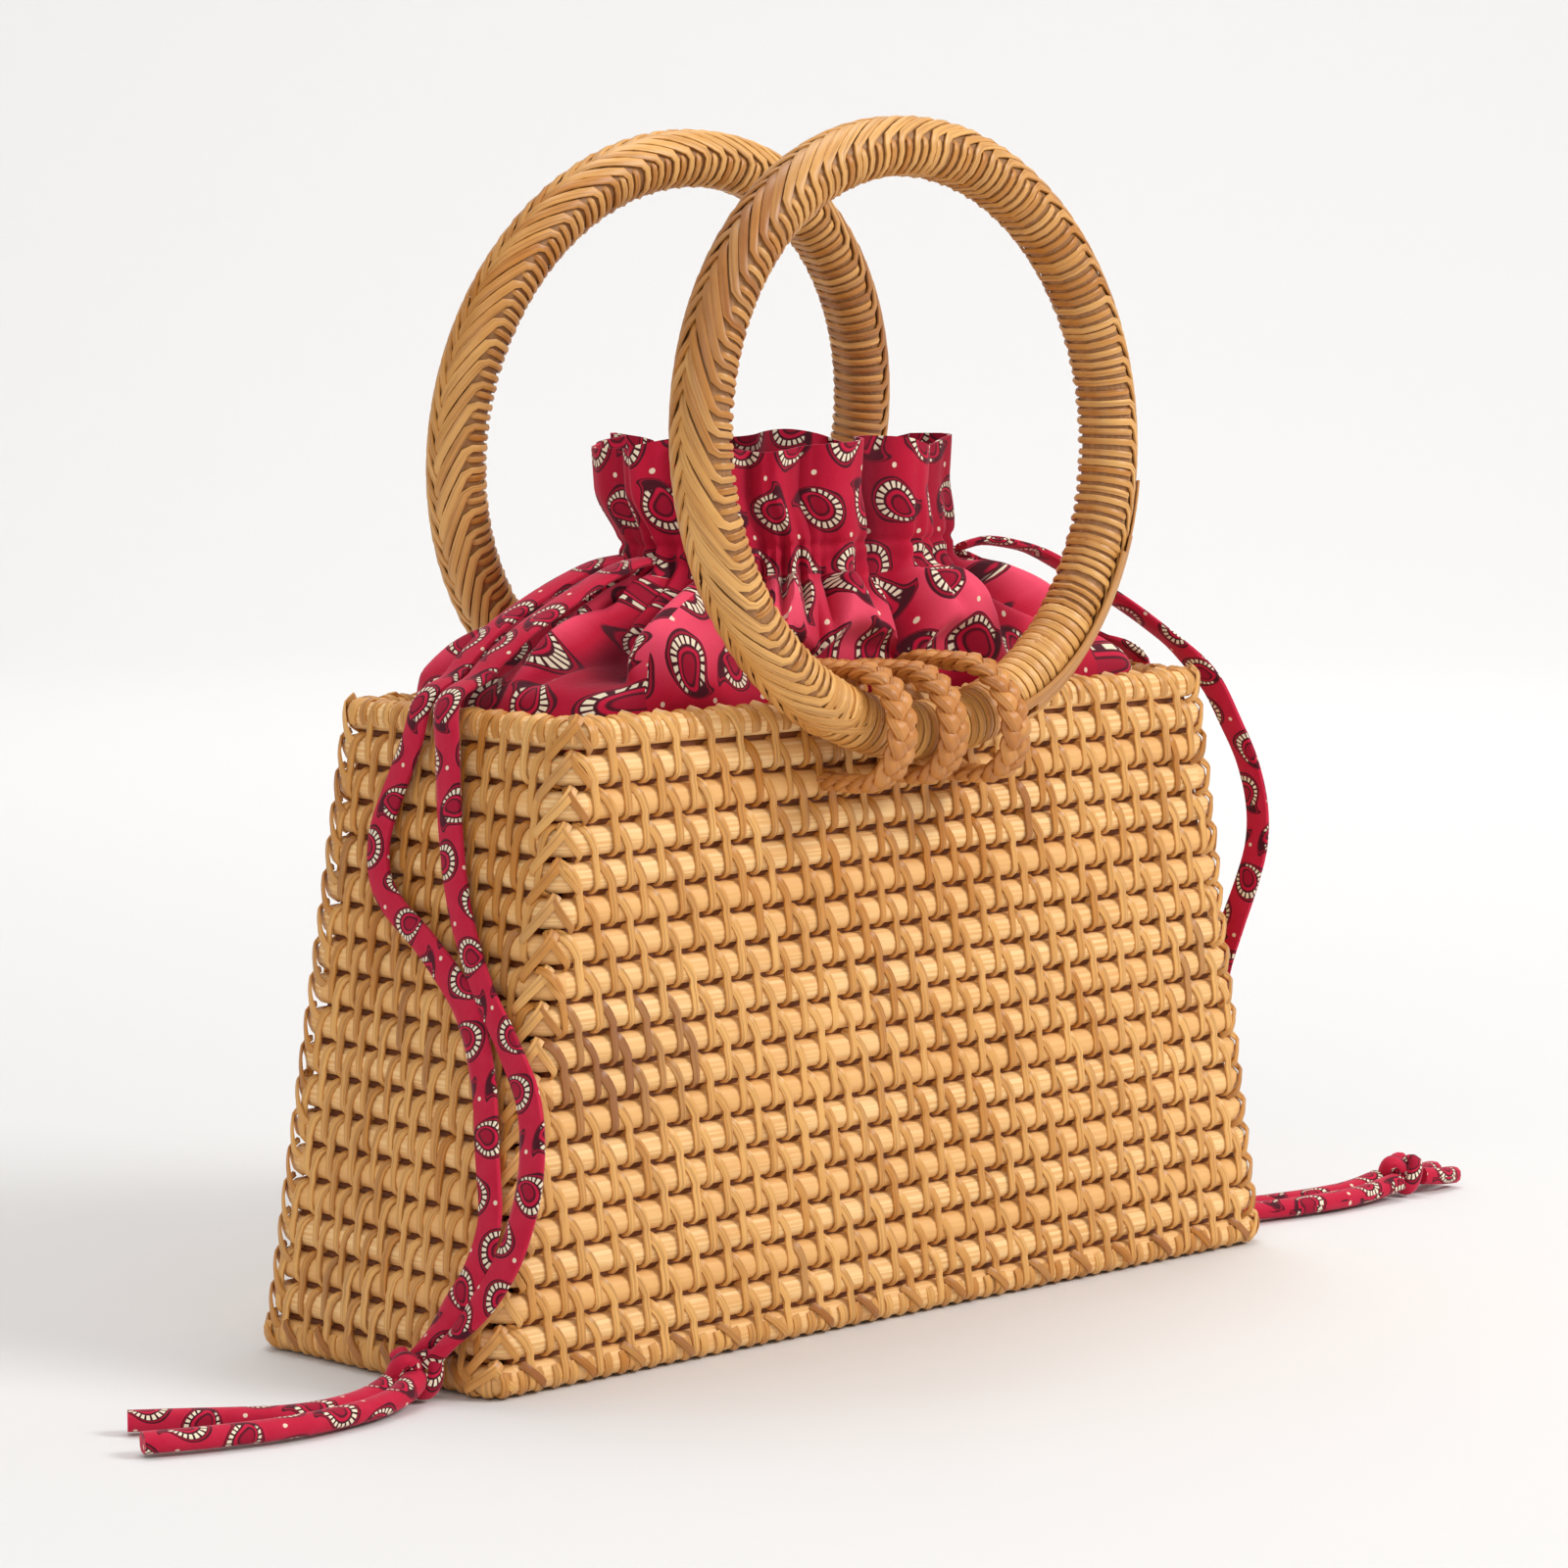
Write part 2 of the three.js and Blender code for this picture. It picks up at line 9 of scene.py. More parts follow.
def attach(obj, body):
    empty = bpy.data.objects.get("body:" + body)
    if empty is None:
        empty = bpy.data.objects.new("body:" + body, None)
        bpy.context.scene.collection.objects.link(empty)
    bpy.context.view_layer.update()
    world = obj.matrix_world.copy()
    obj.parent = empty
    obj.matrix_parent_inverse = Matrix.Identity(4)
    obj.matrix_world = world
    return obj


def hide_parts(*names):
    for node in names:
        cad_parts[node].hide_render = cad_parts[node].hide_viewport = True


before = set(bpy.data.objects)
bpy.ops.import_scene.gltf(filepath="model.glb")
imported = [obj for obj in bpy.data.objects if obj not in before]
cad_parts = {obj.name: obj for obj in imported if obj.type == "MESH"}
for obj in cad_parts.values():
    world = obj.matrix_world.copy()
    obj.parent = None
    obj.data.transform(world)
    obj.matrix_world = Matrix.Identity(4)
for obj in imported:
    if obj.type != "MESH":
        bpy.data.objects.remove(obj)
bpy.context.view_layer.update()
MM = 0.001

# Basket
HALF_DEPTH = 45 * MM
BOTTOM_HALF = 142 * MM
TOP_HALF = 114 * MM
BASKET_HEIGHT = 160 * MM
SLOPE = (BOTTOM_HALF - TOP_HALF) / BASKET_HEIGHT
LEAN = math.atan(SLOPE)

# Cane rods, one above the other
ROWS = 19
ROD_DEEP = 3.2 * MM        # half of its depth, across the wall
ROD_TALL = 3.6 * MM        # half of its height
STRIP_THICK = 0.8 * MM
ROD_INSET = ROD_DEEP + STRIP_THICK
LOW_ROD = ROD_TALL + STRIP_THICK
ROW_PITCH = (BASKET_HEIGHT - 2 * LOW_ROD) / (ROWS - 1)
CORNER_RADIUS = 4.6 * MM   # of the rods' middle line
CORNER_ZONE = ROD_INSET + CORNER_RADIUS

# Ring handles
RING_RADIUS = 72 * MM
RING_TUBE = 8.2 * MM
HINGE_Z = 153.3 * MM
HINGE_Y = 55.5 * MM
HINGE_RISE = 1.8 * MM
RINGS = {
    "front": {"x": -8 * MM, "lean": math.radians(2.5)},
    "back": {"x": 0, "lean": math.radians(8)},
}

# The camera that the photograph was taken with
CAMERA_PLACE = (-0.877, -0.895, 0.261)
CAMERA_YAW = math.radians(44.37)
CAMERA_PITCH = math.radians(5.82)
FOCAL_PIXELS = 4975
PHOTO_PIXELS = 1600
SENSOR = 36


def set_camera():
    data = bpy.data.cameras.new("camera")
    data.sensor_width = SENSOR
    data.lens = FOCAL_PIXELS / PHOTO_PIXELS * SENSOR
    camera = bpy.data.objects.new("camera", data)
    camera.location = CAMERA_PLACE
    camera.rotation_euler = (math.pi / 2 - CAMERA_PITCH, 0, -CAMERA_YAW)
    bpy.context.scene.collection.objects.link(camera)
    bpy.context.scene.camera = camera


# Shader maths


def operator(operation, swapped=False):
    def apply(self, other):
        pair = [other, self] if swapped else [self, other]
        return self.finish.node("Math", {"operation": operation}, pair)
    return apply


class Value:
    """One number or colour in a material. Sums and products of values add their nodes."""

    __add__ = __radd__ = operator("ADD")
    __mul__ = __rmul__ = operator("MULTIPLY")
    __sub__ = operator("SUBTRACT")
    __rsub__ = operator("SUBTRACT", swapped=True)
    __truediv__ = operator("DIVIDE")
    __pow__ = operator("POWER")

    def __init__(self, finish, socket):
        self.finish = finish
        self.socket = socket

    def math(self, operation, *values):
        return self.finish.node("Math", {"operation": operation}, [self, *values])


class Finish:
    """A material under construction."""

    def __init__(self, name, roughness=0.5, specular=0.5):
        self.material = bpy.data.materials.new(name)
        self.material.use_nodes = True
        self.tree = self.material.node_tree
        self.shader = self.tree.nodes["Principled BSDF"]
        self.shader.inputs["Roughness"].default_value = roughness
        self.shader.inputs["Specular IOR Level"].default_value = specular

    def feed(self, socket, value):
        if isinstance(value, Value):
            self.tree.links.new(value.socket, socket)
        elif socket.type == "RGBA" and len(value) == 3:
            socket.default_value = (*value, 1)
        else:
            socket.default_value = value

    def node(self, kind, settings=None, inputs=(), out=0):
        """Add a node, set it, then feed its sockets, and return one output."""
        node = self.tree.nodes.new("ShaderNode" + kind)
        for key, value in (settings or {}).items():
            if key == "stops":
                ramp = node.color_ramp
                while len(ramp.elements) < len(value):
                    ramp.elements.new(0.5)
                for element, (place, colour) in zip(ramp.elements, value):
                    element.position = place
                    element.color = (*colour, 1)
            else:
                setattr(node, key, value)
        pairs = inputs.items() if isinstance(inputs, dict) else enumerate(inputs)
        for key, value in pairs:
            self.feed(node.inputs[key], value)
        return Value(self, node.outputs[out])

    def mix(self, factor, low, high, blend="MIX"):
        settings = {"data_type": "RGBA", "blend_type": blend}
        return self.node("Mix", settings, {0: factor, 6: low, 7: high}, out=2)

    def attribute(self, name):
        return self.node("Attribute", {"attribute_name": name}, out="Fac")

    def surface(self, scale=(1, 1, 1), turned=0.0):
        """The piece's own UV, in metres along and across, times scale and turned."""
        place = self.node("UVMap", {"uv_map": "UVMap"})
        inputs = {"Vector": place, "Scale": scale, "Rotation": (0, 0, turned)}
        return self.node("Mapping", {}, inputs)

    def noise(self, place, scale=1.0):
        return self.node("TexNoise", {}, {"Vector": place, "Scale": scale, "Detail": 2})

    def step(self, value, low, high):
        """0 below low and 1 above high, smooth between."""
        settings = {"interpolation_type": "SMOOTHSTEP"}
        return self.node("MapRange", settings, {0: value, 1: low, 2: high})

    def bump(self, height, distance, strength):
        inputs = {"Height": height, "Distance": distance, "Strength": strength}
        return self.node("Bump", {}, inputs)

    def shade(self, **inputs):
        names = {"colour": "Base Color", "roughness": "Roughness", "normal": "Normal"}
        for key, value in inputs.items():
            self.feed(self.shader.inputs[names[key]], value)
        return self.material


def linear(red, green, blue):
    """A colour as seen on screen, from 0 to 255, in the shader's own units."""
    return tuple(
        c / 12.92 if c <= 0.04045 else ((c + 0.055) / 1.055) ** 2.4
        for c in (red / 255, green / 255, blue / 255)
    )


def rod_finish():
    """Peeled cane, with a fine grain along it, paler and warmer stretches, and a dark brown painted
    shade on the fillers between rods and on the rings' cores.
    """
    finish = Finish("peeled_cane_rod", roughness=0.5, specular=0.4)
    grain = finish.noise(finish.surface((22, 1100, 1)))
    cloud = finish.noise(finish.surface((70, 120, 1)))
    tone = finish.attribute("tone")
    pale = finish.mix(cloud, linear(254, 218, 158), linear(248, 200, 136))
    warm = finish.mix(finish.step(tone, 0.2, 0.9), pale, linear(236, 182, 114))
    streak = finish.step(grain, 0.35, 0.62)
    colour = finish.mix(streak, linear(232, 176, 108), warm)
    # Dark brown painted shade, set on the fillers in the gaps and the rings' cores; the rods themselves
    # are not darkened.
    colour = finish.mix(finish.attribute("stain"), colour, linear(120, 66, 28))
    return finish.shade(
        colour=colour,
        roughness=0.42 + 0.2 * grain,
        normal=finish.bump(grain, 0.00012, 0.6),
    )


def strip_finish(name, light, deep, stained):
    """Split cane, from light to deep by its tone, with a stained grain."""
    finish = Finish(name, roughness=0.4, specular=0.5)
    grain = finish.noise(finish.surface((30, 1500, 1)))
    cloud = finish.noise(finish.surface((160, 200, 1)))
    tone = finish.attribute("tone")
    colour = finish.mix(finish.step(tone + 0.35 * (cloud - 0.5), 0.0, 1.0), light, deep)
    colour = finish.mix(finish.step(grain, 0.3, 0.55) * 0.5 + 0.5, stained, colour)
    colour = finish.mix(finish.attribute("stain"), colour, stained)
    return finish.shade(
        colour=colour,
        roughness=0.33 + 0.2 * grain,
        normal=finish.bump(grain, 0.0001, 0.5),
    )


# The cloth's ground, from painted shade in the creases to a painted highlight on the crests of its
# folds, a darker painted shade for the creases, and the rings
# of a paisley drop from the outside in: where each begins, and its colour
MAROON = (70, 8, 26)
CREAM = (238, 226, 198)
DOT_CREAM = (236, 214, 190)
CREASE_SHADE = (92, 0, 26)
CLOTH_SHADING_STOPS = [(0.0, (122, 0, 32)), (0.45, (186, 8, 50)), (1.0, (238, 80, 110))]
PAISLEY_BANDS = [
    (1.0, MAROON),
    (0.86, (158, 6, 44)),
    (0.76, MAROON),
    (0.29, (196, 14, 58)),
    (0.17, MAROON),
    (0.1, (160, 6, 46)),
]
DROP_WIDE, DROP_LONG, DROP_TAPER = 0.41, 0.47, 0.88   # in cells
DOT_PLACE = 0.45
BEADS = 19            # round a drop
BEAD_OUTER, BEAD_INNER = (0.71, 0.67), (0.37, 0.41)
TAIL_START = (0.3, 0.24)   # no beads past here along the drop
DROP_SWIRL = 3.0      # how much a drop's tail is bent


def paisley_drop(finish, place):
    """One drop to a cell, turned at random. Gives how far out a point lies in it, 1 at its
    edge, then its beads, the way along it to its tail, and the distance from a dot."""
    across = finish.node("SeparateXYZ", {}, [place])
    along = finish.node("SeparateXYZ", {}, [place], out=1)
    row = along.math("FLOOR")
    across = across + 0.5 * row
    column = across.math("FLOOR")
    cell = finish.node("CombineXYZ", {}, [column, row, 0.0])
    chance = finish.node("TexWhiteNoise", {"noise_dimensions": "2D"}, {"Vector": cell})
    x = across - column - 0.5
    y = along - row - 0.5
    turn = chance * 6.283 + DROP_SWIRL * (x * x + y * y) ** 0.5
    cos, sin = turn.math("COSINE"), turn.math("SINE")
    u = x * cos + y * sin
    v = y * cos - x * sin
    drop = (u / (DROP_WIDE * (0.86 - DROP_TAPER * v))) ** 2 + ((v - 0.06) / DROP_LONG) ** 2
    beads = (BEADS * y.math("ARCTAN2", x)).math("SINE")
    dot = (x - DOT_PLACE) ** 2 + (y + DOT_PLACE) ** 2
    return drop, beads, v, dot


def paisley_finish(name, pitch, turned=0.0):
    """Cotton printed with a traditional paisley. Painted shade makes the creases darker and a painted
    highlight makes the crests pinker.
    """
    finish = Finish(name, roughness=0.8, specular=0.25)
    finish.shader.inputs["Sheen Weight"].default_value = 0.4
    finish.shader.inputs["Sheen Roughness"].default_value = 0.4
    finish.shader.inputs["Sheen Tint"].default_value = (*linear(255, 150, 170), 1)
    place = finish.surface((1 / pitch, 1 / pitch, 1), turned)
    drop, beads, along, dot = paisley_drop(finish, place)
    tone = finish.attribute("tone")
    cloud = finish.noise(place, 2.0)
    # On the pouch the tone is painted light: painted shade in the creases, a painted highlight on the
    # crests and the upward-facing dome.
    stops = [(at, linear(*tint)) for at, tint in CLOTH_SHADING_STOPS]
    colour = finish.node("ValToRGB", {"stops": stops}, [tone + 0.16 * (cloud - 0.5)])
    colour = finish.mix(finish.step(dot, 0.002, 0.001), colour, linear(*DOT_CREAM))
    for edge, tint in PAISLEY_BANDS:
        colour = finish.mix(finish.step(drop, edge + 0.03, edge - 0.03), colour, linear(*tint))
    pearls = finish.step(drop, *BEAD_OUTER) * finish.step(drop, *BEAD_INNER)
    pearls = pearls * finish.step(beads, -0.6, -0.1) * finish.step(along, *TAIL_START)
    colour = finish.mix(pearls, colour, linear(*CREAM))
    # Painted shade: the creases are darkened further, print and all.
    colour = finish.mix(0.55 * finish.step(tone, 0.36, 0.0), colour, linear(*CREASE_SHADE))
    weave = finish.noise(finish.surface((900, 900, 1)))
    return finish.shade(
        colour=colour,
        roughness=0.72 + 0.16 * weave,
        normal=finish.bump(weave, 0.0002, 0.5),
    )


# Making meshes from rows of numbers

GRAIN_SHIFT = 0.137


def run_along(points):
    """Length of a line of points up to each of them."""
    return np.concatenate([[0], np.cumsum(np.linalg.norm(np.diff(points, axis=0), axis=1))])


def even_steps(curve, count, closed=False):
    """The same curve, cut into even steps."""
    run = run_along(curve)
    even = np.linspace(0, run[-1], count, endpoint=not closed)
    return np.stack([np.interp(even, run, axis) for axis in curve.T], 1)


def cross_directions(lines, outs, closed):
    """Directions across and out of each strand, at each of its steps."""
    if closed:
        ahead = np.roll(lines, -1, axis=1) - np.roll(lines, 1, axis=1)
    else:
        ahead = np.gradient(lines, axis=1)
    ahead /= np.linalg.norm(ahead, axis=2, keepdims=True)
    side = np.cross(ahead, outs)
    side /= np.linalg.norm(side, axis=2, keepdims=True)
    return side, np.cross(side, ahead)


def lengths_along(lines):
    """Metres along each strand at each step, from another start for each, so that their
    grain differs."""
    strands, steps = lines.shape[:2]
    length = np.zeros((strands, steps + 1))
    length[:, 1:steps] = np.cumsum(np.linalg.norm(np.diff(lines, axis=1), axis=2), axis=1)
    length[:, steps] = length[:, steps - 1] + length[:, 1]
    return length + np.arange(strands)[:, None] * GRAIN_SHIFT


class Pile:
    """Many small swept pieces, joined into one mesh."""

    def __init__(self):
        self.points, self.faces, self.uvs = [], [], []
        self.values = {"tone": [], "stain": []}
        self.skins = []
        self.count = 0

    def sweep(self, lines, outs, section, wide, thick, tone=0.5, stain=0.0, skin=0, closed=False):
        """Sweep a section along one line, or one for each strand. Outs point away from the
        middle, and may be one direction for all."""
        lines = np.asarray(lines, float)
        if lines.ndim == 2:
            lines = lines[None]
        outs = np.broadcast_to(outs, lines.shape)
        section = np.asarray(section, float)
        shape = lines.shape[:2]
        side, rise = cross_directions(lines, outs, closed)
        wide = np.broadcast_to(wide, shape)[:, :, None]
        thick = np.broadcast_to(thick, shape)[:, :, None]
        across = (section[:, 0] * wide)[..., None] * side[:, :, None, :]
        up = (section[:, 1] * thick)[..., None] * rise[:, :, None, :]
        loop = np.vstack([section, section[:1]]) * (float(wide.mean()), float(thick.mean()))
        amount = self.add_sides(lengths_along(lines), loop, shape, closed)
        if not closed:
            amount += self.add_ends(loop, shape)
        self.skins += [skin] * amount
        for key, value in (("tone", tone), ("stain", stain)):
            value = np.asarray(value, float)
            value = value if value.ndim == 2 else value.reshape(-1, 1)
            value = np.broadcast_to(value[:, :, None], (*shape, len(section)))
            self.values[key].append(value.ravel())
        points = lines[:, :, None, :] + across + up
        self.points.append(points.reshape(-1, 3))
        self.count += points.size // 3

    def strips(self, lines, outs, wide, tone, stain=0.0, closed=False):
        self.sweep(lines, outs, STRIP_SECTION, wide, STRIP_THICK, tone, stain, 1, closed)

    def rod(self, line, outs, tall, deep, tone):
        self.sweep(line, outs, ROD_SECTION, tall, deep, tone)

    def add_sides(self, length, loop, shape, closed):
        """Four-sided faces round each strand, with UVs in metres along and round it."""
        strands, steps = shape
        sides = len(loop) - 1
        girth = run_along(loop)
        last = steps if closed else steps - 1
        grid = np.meshgrid(np.arange(strands), np.arange(last), np.arange(sides), indexing="ij")
        strand, step, turn = (part.ravel() for part in grid)

        def at(step_number, turn_number):
            return (strand * steps + step_number % steps) * sides + turn_number % sides

        near = [at(step, turn), at(step + 1, turn)]
        far = [at(step + 1, turn + 1), at(step, turn + 1)]
        quads = np.stack(near + far, 1)
        run = np.stack([length[strand, step], length[strand, step + 1]], 1)[:, [0, 1, 1, 0]]
        wrap = np.stack([girth[turn], girth[turn + 1]], 1)[:, [0, 0, 1, 1]]
        self.faces += (quads + self.count).tolist()
        self.uvs.append(np.stack([run, wrap], 2).reshape(-1, 2))
        return len(quads)

    def add_ends(self, loop, shape):
        """A face on both ends of each strand."""
        strands, steps = shape
        sides = len(loop) - 1
        first = (np.arange(strands) * steps * sides)[:, None] + np.arange(sides)
        final = first[:, ::-1] + (steps - 1) * sides
        self.faces += (np.vstack([first, final]) + self.count).tolist()
        self.uvs.append(np.tile(loop[:-1], (2 * strands, 1)))
        return 2 * strands

    def piece(self, name, finishes):
        values = {key: np.concatenate(parts) for key, parts in self.values.items()}
        points, uvs = np.vstack(self.points), np.vstack(self.uvs)
        piece = make_piece(name, points, self.faces, uvs, values, finishes)
        piece.data.polygons.foreach_set("material_index", self.skins)
        return piece


def make_piece(name, points, faces, uvs, values, finishes, sharp=50):
    """A smooth piece at the origin. Edges of more than sharp degrees stay sharp."""
    mesh = bpy.data.meshes.new(name)
    mesh.from_pydata(points.tolist(), [], faces)
    mesh.uv_layers.new(name="UVMap").data.foreach_set("uv", uvs.ravel())
    for key, value in values.items():
        mesh.attributes.new(key, "FLOAT", "POINT").data.foreach_set("value", value)
    for finish in finishes:
        mesh.materials.append(finish)
    mesh.shade_smooth()
    mesh.set_sharp_from_angle(angle=math.radians(sharp))
    piece = bpy.data.objects.new(name, mesh)
    bpy.context.scene.collection.objects.link(piece)
    return piece


def fit(piece, slot, body, *nodes):
    """Put a piece in the place of its CAD nodes."""
    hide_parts(*nodes)
    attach(piece, body)


def round_section(sides, power=2.0):
    """An oval of half width and half thickness 1; a power over 2 squares it."""
    angle = np.arange(sides) / sides * 2 * math.pi
    across, up = np.cos(angle), np.sin(angle)
    reach = (np.abs(across) ** power + np.abs(up) ** power) ** (-1 / power)
    return np.stack([across * reach, up * reach], 1)


# Widths of the split strips, in millimetres
WALL_STRIP, WRAP_STRIP, RIM_STRIP, BASE_STRIP = 2.3, 2.4, 1.9, 2.7
RING_STRIP, RIB_STRIP, SQUARE_STRIP, LOOSE_STRIP = 2.2, 1.55, 2.2, 2.7

# A split strip: flat behind and crowned in front
STRIP_SECTION = [(-0.5, -0.5), (0.5, -0.5), (0.5, 0.1), (0, 0.5), (-0.5, 0.1)]
ROD_SECTION = round_section(12, 2.4)


# Drawstrings, flat cotton tapes. The routes repeat those of the CAD model, in millimetres.
TAPE_WIDTH = 7 * MM
TAPE_THICK = 2.2 * MM
ROUTES = {
    "left_cord_a": [
        (-55, 3, 193.2), (-62, 5, 192), (-72, 7, 188), (-82, 8.5, 183), (-92, 9, 177.5),
        (-101, 8.5, 171.2), (-107, 7.5, 166.4), (-112.8, 7, 164.3), (-117.4, 7, 160.4),
        (-119.2, 8.5, 151.5), (-120.4, 13, 141), (-122.3, 17, 129), (-123.9, 15.5, 119),
        (-125.2, 9, 112), (-127, -6, 103.5), (-129.3, -22.5, 91), (-131.8, -31.5, 75.5),
        (-134.9, -36.5, 58), (-137.6, -40.3, 42.5), (-140.1, -37, 29), (-142, -30.5, 19.5),
        (-146.5, -24, 9),
    ],
    "left_cord_b": [
        (-55, -5, 193.2), (-62, -5, 192), (-72, -4, 188), (-82, -3, 183), (-92, -2, 177.5),
        (-101, -1.5, 171.2), (-107, -1.5, 166.4), (-112.9, -2, 164.5), (-117.8, -3, 160.7),
        (-119.8, -5.5, 150), (-122.6, -9.7, 131), (-125.3, -16.1, 113), (-128.4, -27.5, 96),
        (-130.6, -39.6, 83), (-133, -49.5, 70.5), (-135.6, -52.8, 55), (-138.2, -50.8, 40.5),
        (-140, -46, 30), (-142.2, -38.6, 20), (-148, -30, 8.5),
    ],
    "right_cord_a": [
        (55, -9, 193), (61.5, -11, 194.4), (70, -13, 193.3), (80, -14, 190.6), (92, -17, 184.3),
        (103.5, -21, 177.3), (110, -26, 171.5), (117, -32, 164), (123.5, -37, 155),
        (129, -39.5, 144), (134.4, -41, 133), (138, -41.5, 121), (138.6, -41, 110),
        (136.8, -39, 99), (135.5, -35, 87), (135.8, -30, 74), (138, -26, 56),
        (140.8, -23.5, 38), (143.6, -22.3, 21), (148, -22.2, 9.5), (156, -23.4, 4.2),
        (166, -25.5, 3.3), (178, -28, 3.3), (191, -29.4, 3.3), (204, -29.3, 3.6), (216, -29.6, 5),
    ],
    "right_cord_b": [
        (55, 4, 193.4), (63, 4, 191.7), (73, 2.5, 187.8), (83, 0, 182.6), (93, -3.5, 176.8),
        (101.5, -7.5, 171), (107, -11, 166.4), (112.8, -14, 164.3), (117.4, -16, 160.4),
        (119.3, -16.5, 151), (121, -16, 140), (124.5, -14, 120), (128, -12, 100),
        (131.5, -10.5, 80), (135, -9.5, 60), (138.5, -9.5, 40), (142, -10.5, 21),
        (146.5, -12, 9), (155, -14.6, 4.2), (165, -17.4, 3.3), (178, -20.4, 3.3),
        (191, -22.2, 3.3), (204, -22.8, 3.6), (216, -23, 5.2),
    ],
    "left_tail_a": [
        (-152, -25, 6), (-159, -27.3, 4.2), (-168, -30.2, 3.3), (-180, -32.3, 3.3),
        (-191, -30, 3.3), (-200, -23.8, 3.3), (-210, -15.8, 3.3), (-219.7, -8.6, 3.3),
    ],
    "left_tail_b": [
        (-152, -30, 6), (-159, -34, 4.2), (-170, -37.6, 3.3), (-183.7, -39.6, 3.3),
        (-197, -39.2, 3.3), (-208, -36.6, 3.3), (-219, -33, 3.3), (-230, -28, 3.3),
    ],
    "right_tail_a": [(228, -28.8, 5.2), (236, -29.4, 4.2), (244, -28, 3.4)],
    "right_tail_b": [(228, -24, 5.2), (236, -22.6, 4.4), (244, -20.6, 4)],
}
KNOT_TAPE = (2.4 * MM, 1.7 * MM)   # half width and half thickness, pulled tight
KNOTS = {
    "left_knot": {"centre": (-151, -27.5, 6.7), "reach": (6.5, 8, 6.4), "turn": 0.5},
    "right_knot": {"centre": (222, -26.4, 6.5), "reach": (8, 6.5, 6.2), "turn": 0.1},
}


def smooth_route(points, step=2.5 * MM):
    """A curve through the points, cut into even steps."""
    points = np.asarray(points, float) * MM
    padded = np.vstack([2 * points[0] - points[1], points, 2 * points[-1] - points[-2]])
    share = np.linspace(0, 1, 12, endpoint=False)[:, None]
    curve = []
    for before, start, end, after in zip(padded, padded[1:], padded[2:], padded[3:]):
        linear_part = (end - before) * share
        square_part = (2 * before - 5 * start + 4 * end - after) * share ** 2
        cube_part = (3 * start - before - 3 * end + after) * share ** 3
        curve.append(start + 0.5 * (linear_part + square_part + cube_part))
    curve = np.vstack(curve + [points[-1:]])
    length = run_along(curve)[-1]
    return even_steps(curve, max(6, round(length / step))), length


def ease(value, low, high):
    share = np.clip((value - low) / (high - low), 0, 1)
    return share * share * (3 - 2 * share)


def tape_outs(line):
    """A tape lies flat: on the floor and the dome it faces up, on an end wall outwards."""
    on_end = ease(line[:, 2], 8 * MM, 26 * MM) * (1 - 0.55 * ease(line[:, 2], 154 * MM, 168 * MM))
    out = np.sign(line[:, 0]) * on_end
    return np.stack([out, 0 * out, 1 - on_end + 0.12], 1)


def add_knots(finishes):
    """A trefoil of tape for each knot."""
    turn = np.linspace(0, 2 * math.pi, 72, endpoint=False)
    trefoil = np.stack([
        (np.sin(turn) + 1.7 * np.sin(2 * turn)) / 2.7,
        (np.cos(turn) - 1.7 * np.cos(2 * turn)) / 2.7,
        -np.sin(3 * turn),
    ], 1)
    knots = {}
    for name, knot in KNOTS.items():
        reach = np.array(knot["reach"]) * MM - (1.9 * MM, 1.9 * MM, 2.6 * MM)
        cos, sin = math.cos(knot["turn"]), math.sin(knot["turn"])
        twist = np.array([[cos, -sin, 0], [sin, cos, 0], [0, 0, 1]])
        line = trefoil * reach @ twist.T
        pile = Pile()
        outs = line / np.linalg.norm(line, axis=1, keepdims=True) + (0, 0, 0.3)
        section = round_section(10, 2.6)
        pile.sweep(line, outs, section, *KNOT_TAPE, closed=True)
        knots[name] = pile.piece(name + "_tied", finishes)
        knots[name].data.transform(Matrix.Translation(Vector(knot["centre"]) * MM))
        fit(knots[name], "cotton_tape", "basket", name)
    return knots


def tape_piece(name, finishes):
    line, length = smooth_route(ROUTES[name])
    pile = Pile()
    ripple = 1 + 0.1 * np.sin(line[:, 1] / (9 * MM) + 3 * len(line))
    on_floor = 1 - ease(line[:, 2], 6 * MM, 20 * MM)
    wide = TAPE_WIDTH / 2 * ripple * (1.1 - 0.25 * on_floor)
    thick = TAPE_THICK / 2 * (1 + 1.2 * on_floor)
    pile.sweep(line, tape_outs(line), round_section(12, 2.8), wide, thick)
    tape = pile.piece(name + "_tape", finishes)
    fit(tape, "cotton_tape", "basket", name)
    return tape, line, length


def add_cords(finishes):
    """Each strand runs to its knot. The right strands' ends beyond it are short."""
    knots = add_knots(finishes)
    tapes = {name: tape_piece(name, finishes) for name in ROUTES}


# Basket


def half_length(z):
    return BOTTOM_HALF - SLOPE * z


def row_z(row):
    return LOW_ROD + row * ROW_PITCH


def on_wall(side, along, z, out):
    """Points on a side, and its outward direction. Along runs to the right as seen from
    outside, and out is counted from the rods' middle."""
    sign = -1 if side in ("front", "left") else 1
    along, z, out = np.broadcast_arrays(along, z, out)
    if side in ("front", "back"):
        line = np.stack([-sign * along, sign * (HALF_DEPTH - ROD_INSET + out), z], -1)
        return line, np.array([0, sign, 0.0])
    reach = half_length(z) - ROD_INSET + out * math.cos(LEAN)
    line = np.stack([sign * reach, sign * along, z + out * math.sin(LEAN)], -1)
    return line, np.array([sign * math.cos(LEAN), 0, math.sin(LEAN)])


def wall_reach(side, z):
    """Half of the straight stretch of a side."""
    if side in ("front", "back"):
        return half_length(z) - CORNER_ZONE
    return HALF_DEPTH - CORNER_ZONE + 0 * z


